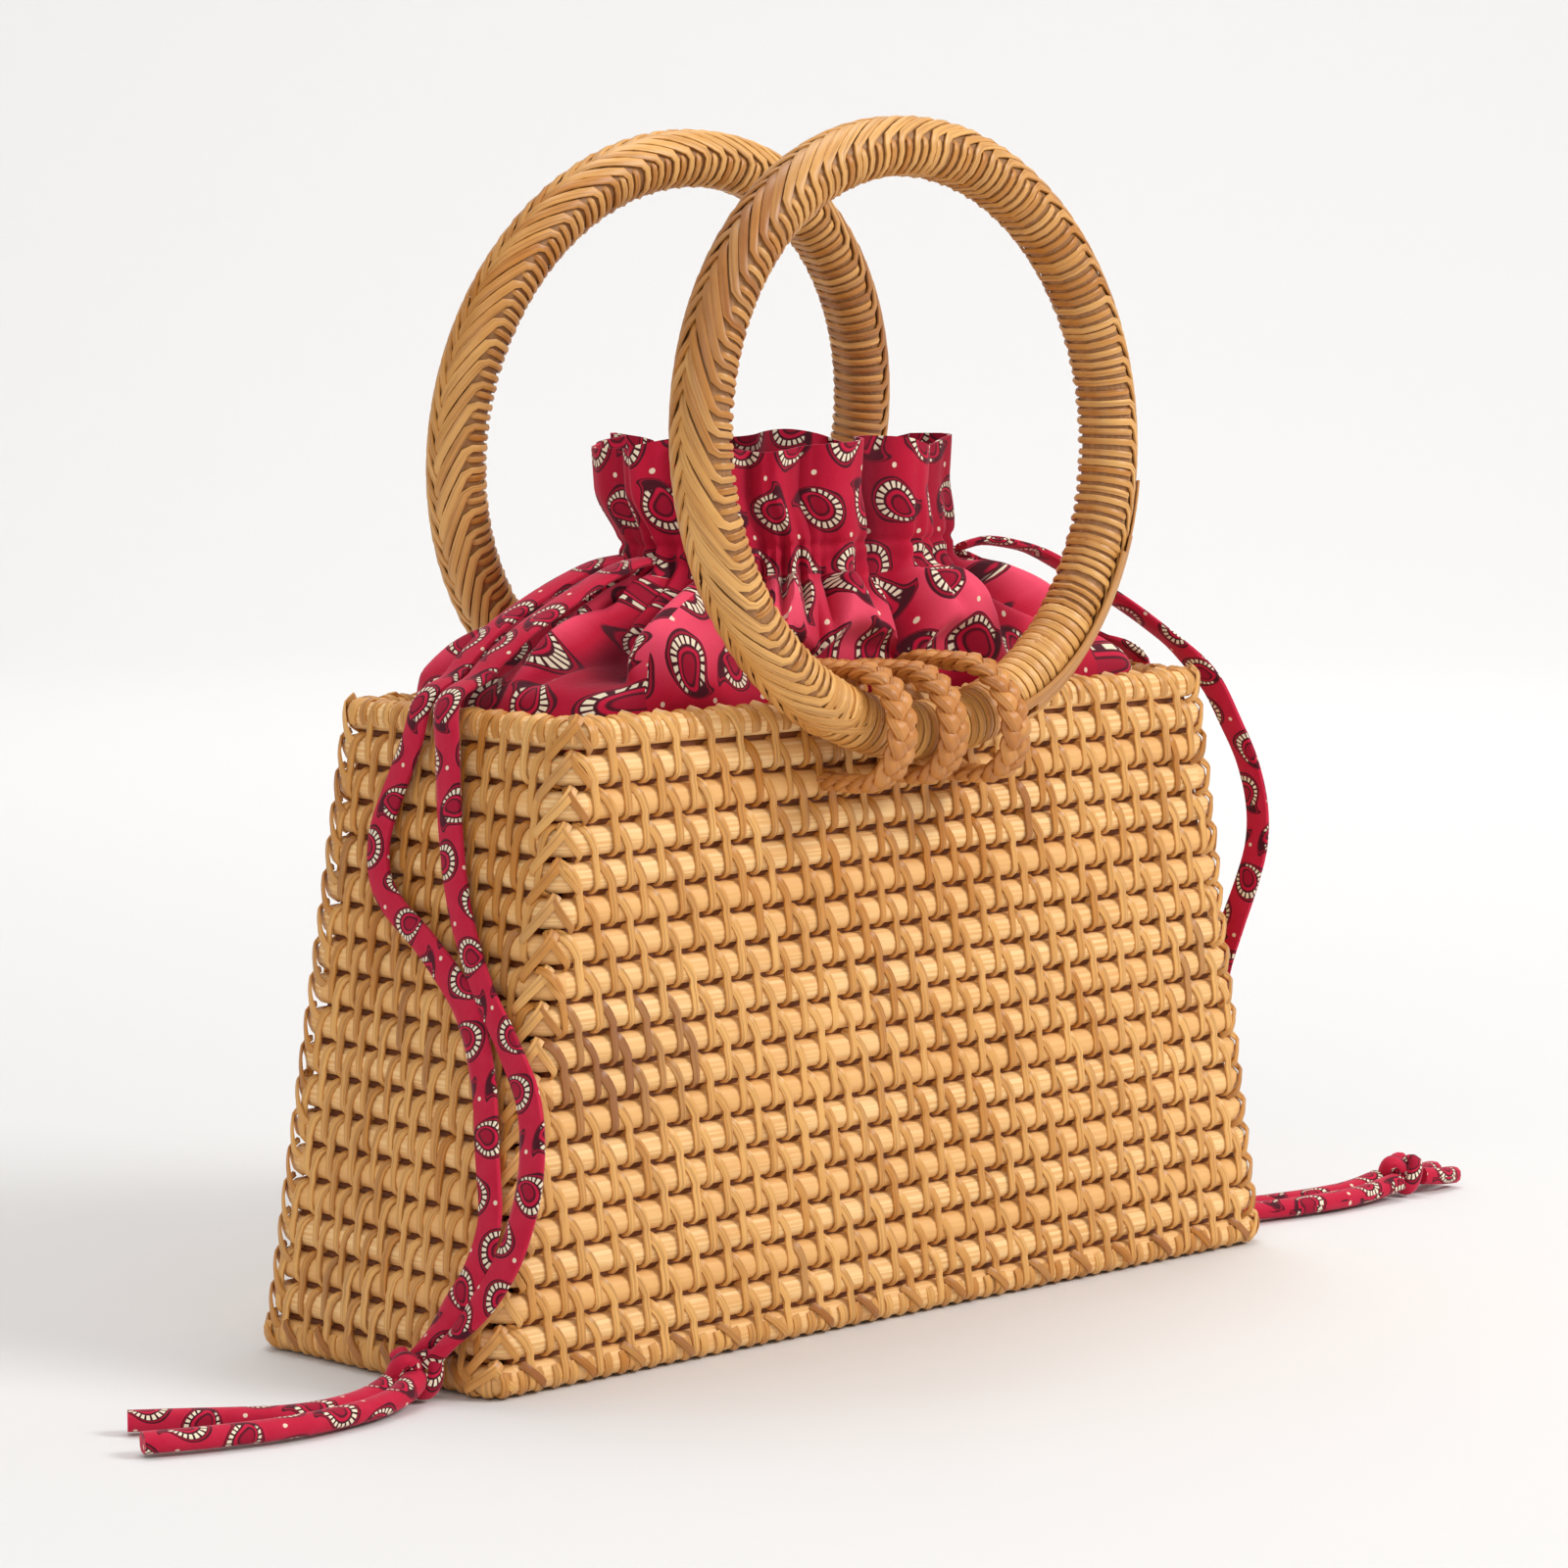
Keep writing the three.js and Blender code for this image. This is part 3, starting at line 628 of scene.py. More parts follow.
# A filler between two rods, darkened as painted shade in the gap: how far out its middle lies, and half
# its thickness
GAP_DEPTH = -0.6 * MM
GAP_HALF = 1.2 * MM
ROD_WAVE = 0.22 * MM

# A stained patch on the front
STAIN_PLACE, STAIN_HALF = -96 * MM, 22 * MM
STAIN_ROWS = (8, 9, 10)


def add_rods(pile, side, rng):
    """Rods a little wavy, as cane is, with a filler in each gap that is darkened as painted shade."""
    share = np.linspace(-1, 1, 26)
    for row in range(ROWS):
        z = row_z(row)
        along = share * wall_reach(side, z)
        quiet = 1 - share ** 4
        wave = quiet * ROD_WAVE * np.sin(along / (9 * MM) + rng.uniform(0, 6))
        line, outs = on_wall(side, along, z + 0.5 * wave, wave)
        pile.rod(line, outs, ROD_TALL, ROD_DEEP, rng.uniform(0, 1))
        if row < ROWS - 1:
            line, outs = on_wall(side, along, z + ROW_PITCH / 2, GAP_DEPTH)
            # The filler is fully darkened, painted shade for the gap between the rods.
            pile.sweep(line, outs, round_section(6), GAP_HALF, GAP_HALF, stain=1)


def strip_depth(share):
    """How far out a strip's middle lies over two rods, from gap to gap."""
    edge = np.clip(np.minimum(share, 1 - share) / 0.16, 0, 1)
    crown = ROD_DEEP + STRIP_THICK / 2
    over = (crown - GAP_DEPTH) * np.sqrt(1 - (1 - edge) ** 2) + GAP_DEPTH
    return over - 0.45 * MM * np.exp(-(((share - 0.5) / 0.09) ** 2))


# Steps along a strip, closer together where it bends
SHARES = np.array([0, 0.03, 0.08, 0.15, 0.25, 0.37, 0.5, 0.63, 0.75, 0.85, 0.92, 0.97, 1])

# How each side is woven: pitch between strips, shift from row to row, and how
# far a strip leans before and after it crosses the gap between its two rods
WEAVES = {
    "front": {"pitch": 10.7 * MM, "shift": 0.5, "before": -4.5 * MM, "after": 0.7 * MM},
    "left": {"pitch": 8.3 * MM, "shift": 0.38, "before": 1.9 * MM, "after": 1.2 * MM},
}
WEAVES["back"] = WEAVES["front"]
WEAVES["right"] = WEAVES["left"]


def strip_tones(rng, along, z, count):
    """Golden high up on the sides and paler lower down, with each strip a little different."""
    height = np.clip(z / BASKET_HEIGHT, 0, 1)
    patch = 0.5 + 0.5 * math.sin(0.5 * z / ROW_PITCH + 1)
    drift = 0.15 * np.sin(along / (31 * MM) + 2 * height)
    tone = 0.3 + 0.5 * height ** 2 * patch + drift + rng.normal(0, 0.16, count)
    return np.clip(tone, 0, 1)


def add_strips(pile, side, rng):
    """Each strip binds two rods, and the strips of the next row start between them."""
    weave = WEAVES[side]
    pitch = weave["pitch"]
    for row in range(1, ROWS):
        top = row_z(row) + ROW_PITCH / 2
        cross_z = top - ROW_PITCH
        reach = wall_reach(side, cross_z) + 1.5 * MM
        shift = (weave["shift"] * (ROWS - row) % 1) * pitch
        along = np.arange(math.ceil((-reach - shift) / pitch), (reach - shift) / pitch) * pitch + shift
        count = len(along)
        along = along + rng.normal(0, 0.35 * MM, count)
        before = weave["before"] * np.clip(1 - SHARES / 0.42, 0, 1) ** 1.3
        after = weave["after"] * np.clip(SHARES / 0.5 - 1, 0, 1)
        stray = 1 + rng.normal(0, 0.12, (count, 1))
        place = along[:, None] + (before + after) * stray
        z = top - SHARES * min(2 * ROW_PITCH, top - 1 * MM)
        depth = strip_depth(SHARES) + rng.normal(0, 0.08 * MM, (count, 1))
        line, outs = on_wall(side, place, z, depth)
        wide = (WALL_STRIP + rng.normal(0, 0.16, (count, 1)) - 0.5 * SHARES ** 2) * MM
        in_patch = side == "front" and row in STAIN_ROWS
        patch = in_patch * (np.abs(along - STAIN_PLACE) < STAIN_HALF)
        stain = patch * rng.uniform(0.4, 0.9, count) + (rng.random(count) < 0.02) * 0.5
        pile.strips(line, outs, wide, strip_tones(rng, along, cross_z, count), stain)


def side_piece(side, finishes, seed):
    rng = np.random.default_rng(seed)
    pile = Pile()
    add_rods(pile, side, rng)
    add_strips(pile, side, rng)
    add_rim(pile, side, rng)
    fit(pile.piece(side + "_weave", finishes), "cane", "basket", side + "_panel")


# Corners, rim and base

OUTER_ARC = (CORNER_RADIUS + ROD_DEEP) * math.pi / 4
CORNERS = {
    "front_left": (-1, -1),
    "front_right": (1, -1),
    "back_left": (-1, 1),
    "back_right": (1, 1),
}


def round_corner(corner, along, z, out):
    """Points and outward directions; along runs from the end wall, below 0, to the long wall."""
    side_x, side_y = CORNERS[corner]
    along, z, out = np.broadcast_arrays(along, z, out)
    angle = math.pi / 4 - np.clip(along, -OUTER_ARC, OUTER_ARC) / (CORNER_RADIUS + ROD_DEEP)
    radius = CORNER_RADIUS + out
    past_long = np.maximum(along - OUTER_ARC, 0)
    past_end = np.maximum(-along - OUTER_ARC, 0)
    x = half_length(z) - CORNER_ZONE + radius * np.sin(angle) - past_long
    y = HALF_DEPTH - CORNER_ZONE + radius * np.cos(angle) - past_end
    outs = np.stack([side_x * np.sin(angle), side_y * np.cos(angle), 0 * angle], -1)
    return np.stack([side_x * x, side_y * y, z], -1), outs


def add_corner_rods(pile, corner, rng):
    along = np.linspace(-OUTER_ARC - 0.4 * MM, OUTER_ARC + 0.4 * MM, 12)
    for row in range(ROWS):
        line, outs = round_corner(corner, along, row_z(row), 0 * along)
        pile.rod(line, outs, ROD_TALL, ROD_DEEP, rng.uniform(0, 1))


FIRST_TUCK, LAST_TUCK = 1.9 * MM, 2.4 * MM   # how far a chevron's ends go in

# A chevron's two legs: how far each runs sideways and down from the apex
CHEVRON_LEGS = [
    {"side": -8.5 * MM, "down": 12.5 * MM, "lift": 0.3 * MM, "wide": 2.6 * MM},
    {"side": 7 * MM, "down": 9 * MM, "lift": 0.0, "wide": 2.1 * MM},
]


def add_chevrons(pile, corner, rng):
    share = np.linspace(0, 1, 12)
    for row in range(ROWS):
        apex = row_z(row) + 0.55 * ROW_PITCH
        for leg in CHEVRON_LEGS:
            down = min(leg["down"], apex - 1.6 * MM) * rng.uniform(0.95, 1.05)
            side = leg["side"] * rng.uniform(0.88, 1.12)
            along = -0.12 * side + side * share ** 1.15 + rng.normal(0, 0.3 * MM)
            z = apex - down * share
            first_tuck = FIRST_TUCK * (1 - np.clip(share / 0.16, 0, 1))
            last_tuck = LAST_TUCK * np.clip(share / 0.14 - 6.15, 0, 1)
            out = ROD_DEEP + STRIP_THICK + leg["lift"] - (first_tuck + last_tuck)
            line, outs = round_corner(corner, along, z, out)
            wide = leg["wide"] * (1 - 0.2 * share)
            tone = rng.uniform(0.1, 0.75)
            pile.strips(line, outs, wide, tone, rng.choice([0, 0, 0.3]))


def wrap(pile, place, along, row, start, end, lean, rng):
    """Strips round one rod, from angle start to end; 0 is outwards and 90 degrees is up.
    Place is on_wall or round_corner, for one side or corner."""
    angle = np.radians(np.linspace(start, end, 11))
    share = np.linspace(0, 1, 11)
    reach = STRIP_THICK / 2
    out = (ROD_DEEP + reach) * np.cos(angle)
    z = row_z(row) + (ROD_TALL + reach) * np.sin(angle)
    line, flat_out = place(along[:, None] + lean * (share - 1), z, out)
    line[..., 2] = np.maximum(line[..., 2], STRIP_THICK)
    outs = flat_out * np.cos(angle)[:, None] + np.array([0, 0, 1]) * np.sin(angle)[:, None]
    count = len(along)
    wide = (WRAP_STRIP + rng.normal(0, 0.15, (count, 1))) * MM
    tones = np.clip(0.4 + rng.normal(0, 0.15, count), 0, 1)
    pile.strips(line, outs, wide, tones)


# Short slanting strips on the lowest rod: where they start above its middle, how
# far they go down and sideways, and how far their ends tuck in
FOOT_START, FOOT_DROP, FOOT_LEAN, FOOT_TUCK = 3.6 * MM, 6 * MM, 7 * MM, 1.6 * MM


def add_rim(pile, side, rng):
    """Strips close together over the top rod and under the bottom one."""
    pitch = WEAVES[side]["pitch"]
    for row, start, end in ((ROWS - 1, 205, -38), (0, 35, -205)):
        reach = wall_reach(side, row_z(row)) + 1 * MM
        along = np.arange(-reach, reach, pitch / 2)
        along = along + rng.normal(0, 0.3 * MM, len(along))
        wrap(pile, partial(on_wall, side), along, row, start, end, 3.2 * MM, rng)
    reach = wall_reach(side, row_z(0)) - 2 * MM
    along = np.arange(-reach, reach, 1.5 * pitch)
    share = np.linspace(0, 1, 9)
    z = row_z(0) + FOOT_START - FOOT_DROP * share
    out = ROD_DEEP + STRIP_THICK * 1.25 - FOOT_TUCK * (2 * share - 1) ** 4
    line, outs = on_wall(side, along[:, None] + FOOT_LEAN * share, z, out)
    tones = rng.uniform(0.4, 1, len(along))
    stains = rng.uniform(0, 0.7, len(along))
    pile.strips(line, outs, RIM_STRIP * MM, tones, stains)


def corner_piece(corner, finishes, seed):
    rng = np.random.default_rng(seed)
    pile = Pile()
    add_corner_rods(pile, corner, rng)
    add_chevrons(pile, corner, rng)
    ends = np.array([-5, 0, 5]) * MM
    for row, start, end in ((ROWS - 1, 205, -30), (0, 35, -205)):
        wrap(pile, partial(round_corner, corner), ends, row, start, end, 2 * MM, rng)
    piece = pile.piece("binding_" + corner, finishes)
    fit(piece, "corner_binding", "basket", "corner_" + corner)


# Rods of the bottom, and the strips that bind each pair of them
BASE_RODS = 9
BASE_ROD_TALL = 2.2 * MM
DOWN = (0, 0, -1)


def base_piece(finishes, seed):
    rng = np.random.default_rng(seed)
    pile = Pile()
    half_x = BOTTOM_HALF - 2 * ROD_INSET - 1.2 * MM
    half_y = HALF_DEPTH - 2 * ROD_INSET - 1.2 * MM
    pitch = 2 * half_y / BASE_RODS
    z = BASE_ROD_TALL + STRIP_THICK
    x = np.linspace(-half_x, half_x, 24)
    for rod in range(BASE_RODS):
        y = -half_y + (rod + 0.5) * pitch
        line = np.stack([x, 0 * x + y, 0 * x + z], 1)
        pile.rod(line, DOWN, pitch / 2 - 0.3 * MM, BASE_ROD_TALL, rng.uniform(0, 1))
    strip_pitch = WEAVES["front"]["pitch"]
    columns = np.arange(-half_x + 3 * MM, half_x - 3 * MM, strip_pitch)
    for rod in range(BASE_RODS - 1):
        shift = rod % 2 * strip_pitch / 2
        along = columns[:, None] + shift - 3 * MM * (1 - SHARES)
        y = -half_y + rod * pitch + SHARES * 2 * pitch + 0 * along
        over = strip_depth(SHARES) / (ROD_DEEP + STRIP_THICK / 2)
        depth = (BASE_ROD_TALL + 0.4 * MM) * np.clip(over, -0.1, 1)
        line = np.stack([along, y, z - depth + 0 * along], -1)
        tones = rng.uniform(0.1, 0.6, len(along))
        pile.strips(line, DOWN, BASE_STRIP * MM, tones)
    fit(pile.piece("base_weave", finishes), "cane", "basket", "base_panel")


# Ring handles

RING_STRIPS = 84
RING_CORE = RING_TUBE - 1.6 * MM
RING_WIND = RING_TUBE - 0.85 * MM   # middle of the strips wound on it
ARM_STEEPNESS = 2.1          # along the ring for each step across it, where the arms meet
PLAIN_HALF = math.radians(27)  # the ring's lowest stretch has no herringbone
CROWN_RISE, APEX_TUCK, HOLE_DEPTH = 0.35 * MM, 1.5 * MM, 0.75 * MM
SQUARE_START, SQUARE_END, SQUARE_PITCH = -121, -42, 2.25   # its square winding, in degrees
# Places across the tube, in degrees, that a strip of the herringbone runs through
WINDING_STEPS = [
    -14, -7, 0, 8, 16, 26, 38, 50, 64, 80, 100, 125, 155,
    180, 205, 235, 260, 280, 296, 310, 322, 334, 344, 352, 360, 367,
]


def ring_frame(name):
    """Centre of a ring, and its directions along X, up and outwards."""
    ring = RINGS[name]
    turn = -1 if name == "back" else 1
    up = np.array([0, turn * math.sin(ring["lean"]), math.cos(ring["lean"])])
    out = np.array([0, -turn * math.cos(ring["lean"]), math.sin(ring["lean"])])
    hinge = np.array([ring["x"], -turn * HINGE_Y, HINGE_Z])
    return hinge + (RING_RADIUS - HINGE_RISE) * up, turn * np.array([1.0, 0, 0]), up, out


def on_ring(name, around, across, radius):
    """Points and outward directions. around counts from the ring's right, seen from outside,
    and across is 0 on the ring's outer edge and a quarter turn on its outer side."""
    centre, right, up, out = ring_frame(name)
    around, across, radius = (a[..., None] for a in np.broadcast_arrays(around, across, radius))
    away = np.cos(around) * right + np.sin(around) * up
    outs = np.cos(across) * away + np.sin(across) * out
    return centre + RING_RADIUS * away + radius * outs, outs


def arm_run(across):
    """How far the arms of the herringbone lag behind their apex, along the ring."""
    fine = np.linspace(0, math.pi, 200)
    slope = ARM_STEEPNESS * (1 - ease(fine, math.radians(54), math.radians(80)))
    run = np.concatenate([[0], np.cumsum(slope[:-1] * np.diff(fine))]) * RING_TUBE
    near = np.minimum(across, 2 * math.pi - across)
    return np.sign(near) * np.interp(np.abs(near), fine, run)


def plaited(around):
    """1 where the winding is plaited, 0 on the plain stretch at the ring's bottom."""
    from_bottom = np.abs(np.angle(np.exp(1j * (around + math.pi / 2))))
    return ease(from_bottom, PLAIN_HALF, PLAIN_HALF + math.radians(7))


def inner_dip(across):
    """The strips sink along the ring's inner middle, which leaves a row of dark holes."""
    return HOLE_DEPTH * np.exp(-((across - math.pi) / math.radians(13)) ** 2)


def add_inner_ribs(pile, name, apex, rng):
    """Short ribs round the inside, one between each two strips."""
    across = np.radians(np.linspace(66, 294, 17))
    lag = arm_run(np.array([math.pi]))[0] / (RING_RADIUS + RING_TUBE)
    half_step = math.pi / RING_STRIPS * (across / (2 * math.pi) + 1)
    between = apex[:, None] + plaited(apex[:, None]) * lag + half_step
    edge = np.clip(np.minimum(across - across[0], across[-1] - across) / math.radians(16), 0, 1)
    radius = RING_WIND - 1.1 * MM * (1 - edge) - 0.15 * MM - inner_dip(across)
    line, outs = on_ring(name, between, across, radius)
    tones = rng.uniform(0.2, 0.8, len(apex))
    pile.strips(line, outs, RIB_STRIP * MM, tones, 0.1)


def add_square_winding(pile, name, rng):
    """The ring's lowest stretch is wound square, strip beside strip."""
    around = np.radians(np.arange(SQUARE_START, SQUARE_END, SQUARE_PITCH))[:, None]
    across = np.linspace(0, 2 * math.pi, 20, endpoint=False)
    line, outs = on_ring(name, around, across, RING_WIND - 0.2 * MM)
    tones = rng.uniform(0, 0.6, len(around))
    pile.strips(line, outs, SQUARE_STRIP * MM, tones, closed=True)


def add_herringbone(pile, name, rng):
    """Strips wound round the tube, each with two slanting arms. Gives the place of their
    apexes round the ring."""
    full = 2 * math.pi
    apex = np.arange(RING_STRIPS) / RING_STRIPS * full
    apex = apex + rng.normal(0, 0.05, RING_STRIPS) * full / RING_STRIPS
    apex = apex[plaited(apex) > 0]
    count = len(apex)
    across = np.radians(np.array(WINDING_STEPS))
    plait = plaited(apex[:, None])
    lag = arm_run(across) / (RING_RADIUS + RING_TUBE)
    half_step = math.pi / RING_STRIPS * across / full
    around = apex[:, None] + plait * lag + half_step
    near = np.degrees(np.minimum(across, full - across))
    tuck = np.where(near < 10, (10 - near) / 22, 0)
    crown = CROWN_RISE * np.exp(-((near - 24) / 12) ** 2)
    radius = RING_WIND + (crown - APEX_TUCK * np.clip(tuck, 0, 1)) * plait
    radius = radius + np.where(across > math.pi, 0.12, 0) * MM - inner_dip(across)
    line, outs = on_ring(name, around, across, radius)
    inside = ease(near, 62, 84)
    wide = (RING_STRIP + rng.normal(0, 0.1, (count, 1)) - 0.6 * inside) * MM
    tones = np.clip(0.35 + 0.2 * np.sin(3 * apex) + rng.normal(0, 0.16, count), 0, 1)
    upper_left = np.abs(np.angle(np.exp(1j * (apex - math.radians(140)))))
    stain = 0.55 * (1 - ease(upper_left, math.radians(12), math.radians(40)))
    stain = stain * rng.uniform(0.3, 1, count) + 0.12 * rng.uniform(0, 1, count)
    pile.strips(line, outs, wide, tones, stain)
    return apex


def ring_piece(name, finishes, seed):
    rng = np.random.default_rng(seed)
    pile = Pile()
    add_square_winding(pile, name, rng)
    around = np.linspace(0, 2 * math.pi, 96, endpoint=False)
    core, outs = on_ring(name, around, 0, 0)
    # The core is darkened as painted shade, showing dark between the strips wound on it.
    pile.sweep(core, outs, round_section(20), RING_CORE, RING_CORE,
               stain=0.75, closed=True)
    apex = add_herringbone(pile, name, rng)
    add_inner_ribs(pile, name, apex, rng)
    if name == "front":
        add_loose_strands(pile, name, rng)
    piece = pile.piece("wound_ring_" + name, finishes)
    fit(piece, "cane", name + "_handle", "handle_" + name)


# Long strands laid along the front ring, low on its right: place across the
# tube, and where each begins and ends round the ring, in degrees
LOOSE_STRANDS = [(8, -16, -64), (27, -9, -66), (46, -20, -63), (65, -24, -67), (-11, -30, -60)]


def add_loose_strands(pile, name, rng):
    share = np.linspace(0, 1, 22)
    for place, start, end in LOOSE_STRANDS:
        around = np.radians(start + (end - start) * share)
        wander = 5 * np.sin(3 * share + place)
        across = np.radians(place + wander + 16 * share ** 2)
        line, outs = on_ring(name, around, across, RING_TUBE + 0.35 * MM)
        pile.strips(line, outs, LOOSE_STRIP * MM, rng.uniform(0.2, 0.6), 0.25)


# Braided loops that hold the rings

LOOPS = [
    {"side": "left", "offset": -21 * MM, "slant": 0.0},
    {"side": "middle", "offset": -2 * MM, "slant": math.radians(-6)},
    {"side": "right", "offset": 19 * MM, "slant": math.radians(-12)},
]
LOOP_WIDTH = 8 * MM
LOOP_THICK = 5 * MM
LOOP_CORNER = 5.5 * MM
RUNNING_GAP = 0.6 * MM
LOOP_LEG = HALF_DEPTH - 8 * MM - 0.4 * MM - LOOP_THICK / 2
BRAID_TURNS = 8
STRAND_WIDE, STRAND_THICK = 2.3 * MM, 1.35 * MM   # half sizes of a braid's strand
STRAND_SWING, STRAND_RISE = LOOP_WIDTH / 2 - 1.7 * MM, 1.15 * MM


def loop_line(loop):
    """The loop's closed middle line seen along X: distance from the middle, height, direction."""
    lean = abs(math.tan(loop["slant"])) * (RING_TUBE + LOOP_THICK)
    far = abs(loop["offset"]) + LOOP_WIDTH / 2 + lean
    climb = RING_RADIUS - math.sqrt(RING_RADIUS ** 2 - far ** 2) - HINGE_RISE
    radius = RING_TUBE + max(HINGE_RISE, climb) + RUNNING_GAP + LOOP_THICK / 2
    turn = np.linspace(-math.pi / 2, math.pi / 2, 25)
    far_side = np.stack([HINGE_Y + radius * np.cos(turn), HINGE_Z + radius * np.sin(turn)], 1)
    bend = np.linspace(0, math.pi / 2, 9)
    inset = LOOP_LEG + LOOP_CORNER
    top = np.stack([
        inset - LOOP_CORNER * np.sin(bend),
        HINGE_Z + radius - LOOP_CORNER + LOOP_CORNER * np.cos(bend),
    ], 1)
    bottom = top[::-1] * (1, -1) + (0, 2 * HINGE_Z)
    outline = np.vstack([far_side, top, bottom])
    return even_steps(np.vstack([outline, outline[:1]]), 120, closed=True)


def loop_piece(name, loop, finishes, seed):
    """Three strands braided into a closed band."""
    rng = np.random.default_rng(seed)
    turn = -1 if name == "back" else 1
    outline = loop_line(loop)
    ahead = np.roll(outline, -1, axis=0) - np.roll(outline, 1, axis=0)
    ahead /= np.linalg.norm(ahead, axis=1, keepdims=True)
    away = np.stack([ahead[:, 1], -ahead[:, 0]], 1)
    phase = np.arange(len(outline)) / len(outline) * 2 * math.pi * BRAID_TURNS
    pile = Pile()
    for strand in range(3):
        beat = phase + strand * 2 * math.pi / 3
        across = STRAND_SWING * np.sin(beat)
        height = STRAND_RISE * np.sin(2 * beat)
        profile = outline + away * height[:, None]
        x = loop["offset"] + math.tan(loop["slant"]) * (profile[:, 1] - HINGE_Z) + across
        line = np.stack([turn * (x + turn * RINGS[name]["x"]), -turn * profile[:, 0], profile[:, 1]], 1)
        outs = np.stack([0 * x, -turn * away[:, 0], away[:, 1]], 1)
        pile.sweep(line, outs, round_section(8, 2.5), STRAND_WIDE, STRAND_THICK,
                   tone=rng.uniform(0.3, 0.9), skin=1, closed=True)
    piece = pile.piece(f"braid_{name}_{loop['side']}", finishes)
    fit(piece, "braided_cane", "basket", f"{name}_loop_{loop['side']}")


# Pouch

CLOTH_THICK = 1.2 * MM
POUCH_COLUMNS = 336
WALL = 8 * MM
LINING_GAP = 0.8 * MM

# Heights and half sizes of the pouch, how square its outline is, how deep its
# main folds and fine gathers are, in millimetres, and how much its top edge waves
LEVEL_KEYS = ("length", "depth", "square", "fold", "fine", "wave")
POUCH_LEVELS = [
    #  z, length, depth, square, fold, fine, wave
    (6.8, 131.4, 35.8, 7, 0, 0, 0),
    (150, 106.5, 35.8, 6, 0.3, 0, 0),
    (160, 105, 35.8, 6, 1.2, 0.1, 0),
    (167.7, 98, 35.4, 4.5, 2.8, 0.2, 0),
    (174.6, 87.5, 34.6, 3.6, 4.4, 0.3, 0),
    (181.5, 73.8, 32.6, 3, 5.2, 0.5, 0),
    (187, 60, 29.6, 2.4, 4.4, 0.8, 0),
    (190.5, 50, 26.6, 2, 2.6, 1.1, 0),
    (193, 50, 27.2, 2, 2.2, 1.1, 0),
    (198, 50.6, 27.4, 2, 2.2, 0.7, 0.1),
    (206.5, 52.6, 29, 2, 2.8, 0.2, 0.4),
    (222, 53.8, 29.8, 2, 3, 0.1, 1),
]
FOLDS = 31
WIDE_FOLDS = 13
FINE_FOLDS = 47
WAVE_HEIGHT = 1.6 * MM
FRILL_SHIFT = -5 * MM
PUFF = 5.5 * MM     # how far the dome swells beside the drawstrings that press on its ends
LEFT_PRESS, RIGHT_PRESS = 2 * MM, -12 * MM   # where they press, along Y
SEAMS = (188.4 * MM, 196.6 * MM)             # the drawstring's casing lies between these

# Single deep creases: where each lies round the pouch on the dome's foot and at
# the neck, in degrees, half its width, its depth, and the height that it ends at
CREASES = [
    (-167, -158, 6, 6, 194),
    (-150, -174, 5, 5, 192),
    (-128, -140, 5, 4, 192),
    (-77, -81, 5, 6.5, 240),
    (-24, -40, 6, 5, 192),
    (13, 25, 5, 5, 194),
    (52, 66, 6, 5.5, 240),
    (118, 104, 6, 5, 192),
    (163, 150, 6, 5.5, 194),
]


def crease(angle):
    """A row of round pleats with sharp valleys between them, from -1 to 1."""
    return 2 * np.sqrt(np.cos(angle / 2) ** 2 + 0.008) - 1.1


def level_at(z):
    """The pouch's sizes at any height."""
    heights, *columns = zip(*POUCH_LEVELS)
    heights = [height * MM for height in heights]
    spread = np.linspace(-2.2, 2.2, 9) * MM
    found = {}
    for key, values in zip(LEVEL_KEYS, columns):
        near = [np.interp(z + shift, heights, values) for shift in spread]
        found[key] = sum(near) / len(near)
    return found


def loop_recess(x, z):
    """Room that the cloth leaves inside the walls for the loops' inner legs."""
    along = ease(37 * MM - np.abs(x), 0, 8 * MM)
    up = ease(176 * MM - z, 0, 7 * MM)
    return 6.4 * MM * along * up


def deep_creases(z, angle):
    """How far single creases draw the cloth in, in metres."""
    total = 0 * angle
    for foot, neck, wide, deep, end in CREASES:
        place = np.radians(foot + (neck - foot) * ease(z, 164 * MM, 190 * MM))
        away = np.angle(np.exp(1j * (angle - place)))
        held = ease(z, 161 * MM, 168 * MM) * (1 - ease(z, (end - 8) * MM, end * MM))
        total = total + held * deep * MM * np.exp(-np.abs(away / math.radians(wide)) ** 1.4)
    return total


def folds_at(z, angle):
    """How far pleats and creases bring the cloth out, in metres."""
    level = level_at(z)
    uneven = angle + 0.1 * np.sin(3 * angle + 0.6) + 0.05 * np.sin(7 * angle + 2)
    rise = 0.15 + 0.5 * math.exp(-((z - 190 * MM) / (10 * MM)) ** 2)
    big = rise * crease(FOLDS * uneven) + (1 - rise) * crease(WIDE_FOLDS * uneven + 1.7)
    fine = crease(FINE_FOLDS * uneven + 1.5 * np.sin(5 * angle))
    return (level["fold"] * big + 0.85 * level["fine"] * fine) * MM - deep_creases(z, angle)


def painted_fold_light(z, angle):
    """Painted light on the cloth: 0, painted shade, in a crease, about half on the upright cloth, and
    1, a painted highlight, on the crests of the dome, whose top is lighter as it faces up.
    """
    on_dome = ease(z, 160 * MM, 172 * MM) * (1 - ease(z, 184 * MM, 194 * MM))
    crest = folds_at(z, angle) / (4.5 * MM)
    return np.clip(0.36 + 0.3 * on_dome + (0.2 + 0.16 * on_dome) * crest, 0, 1)


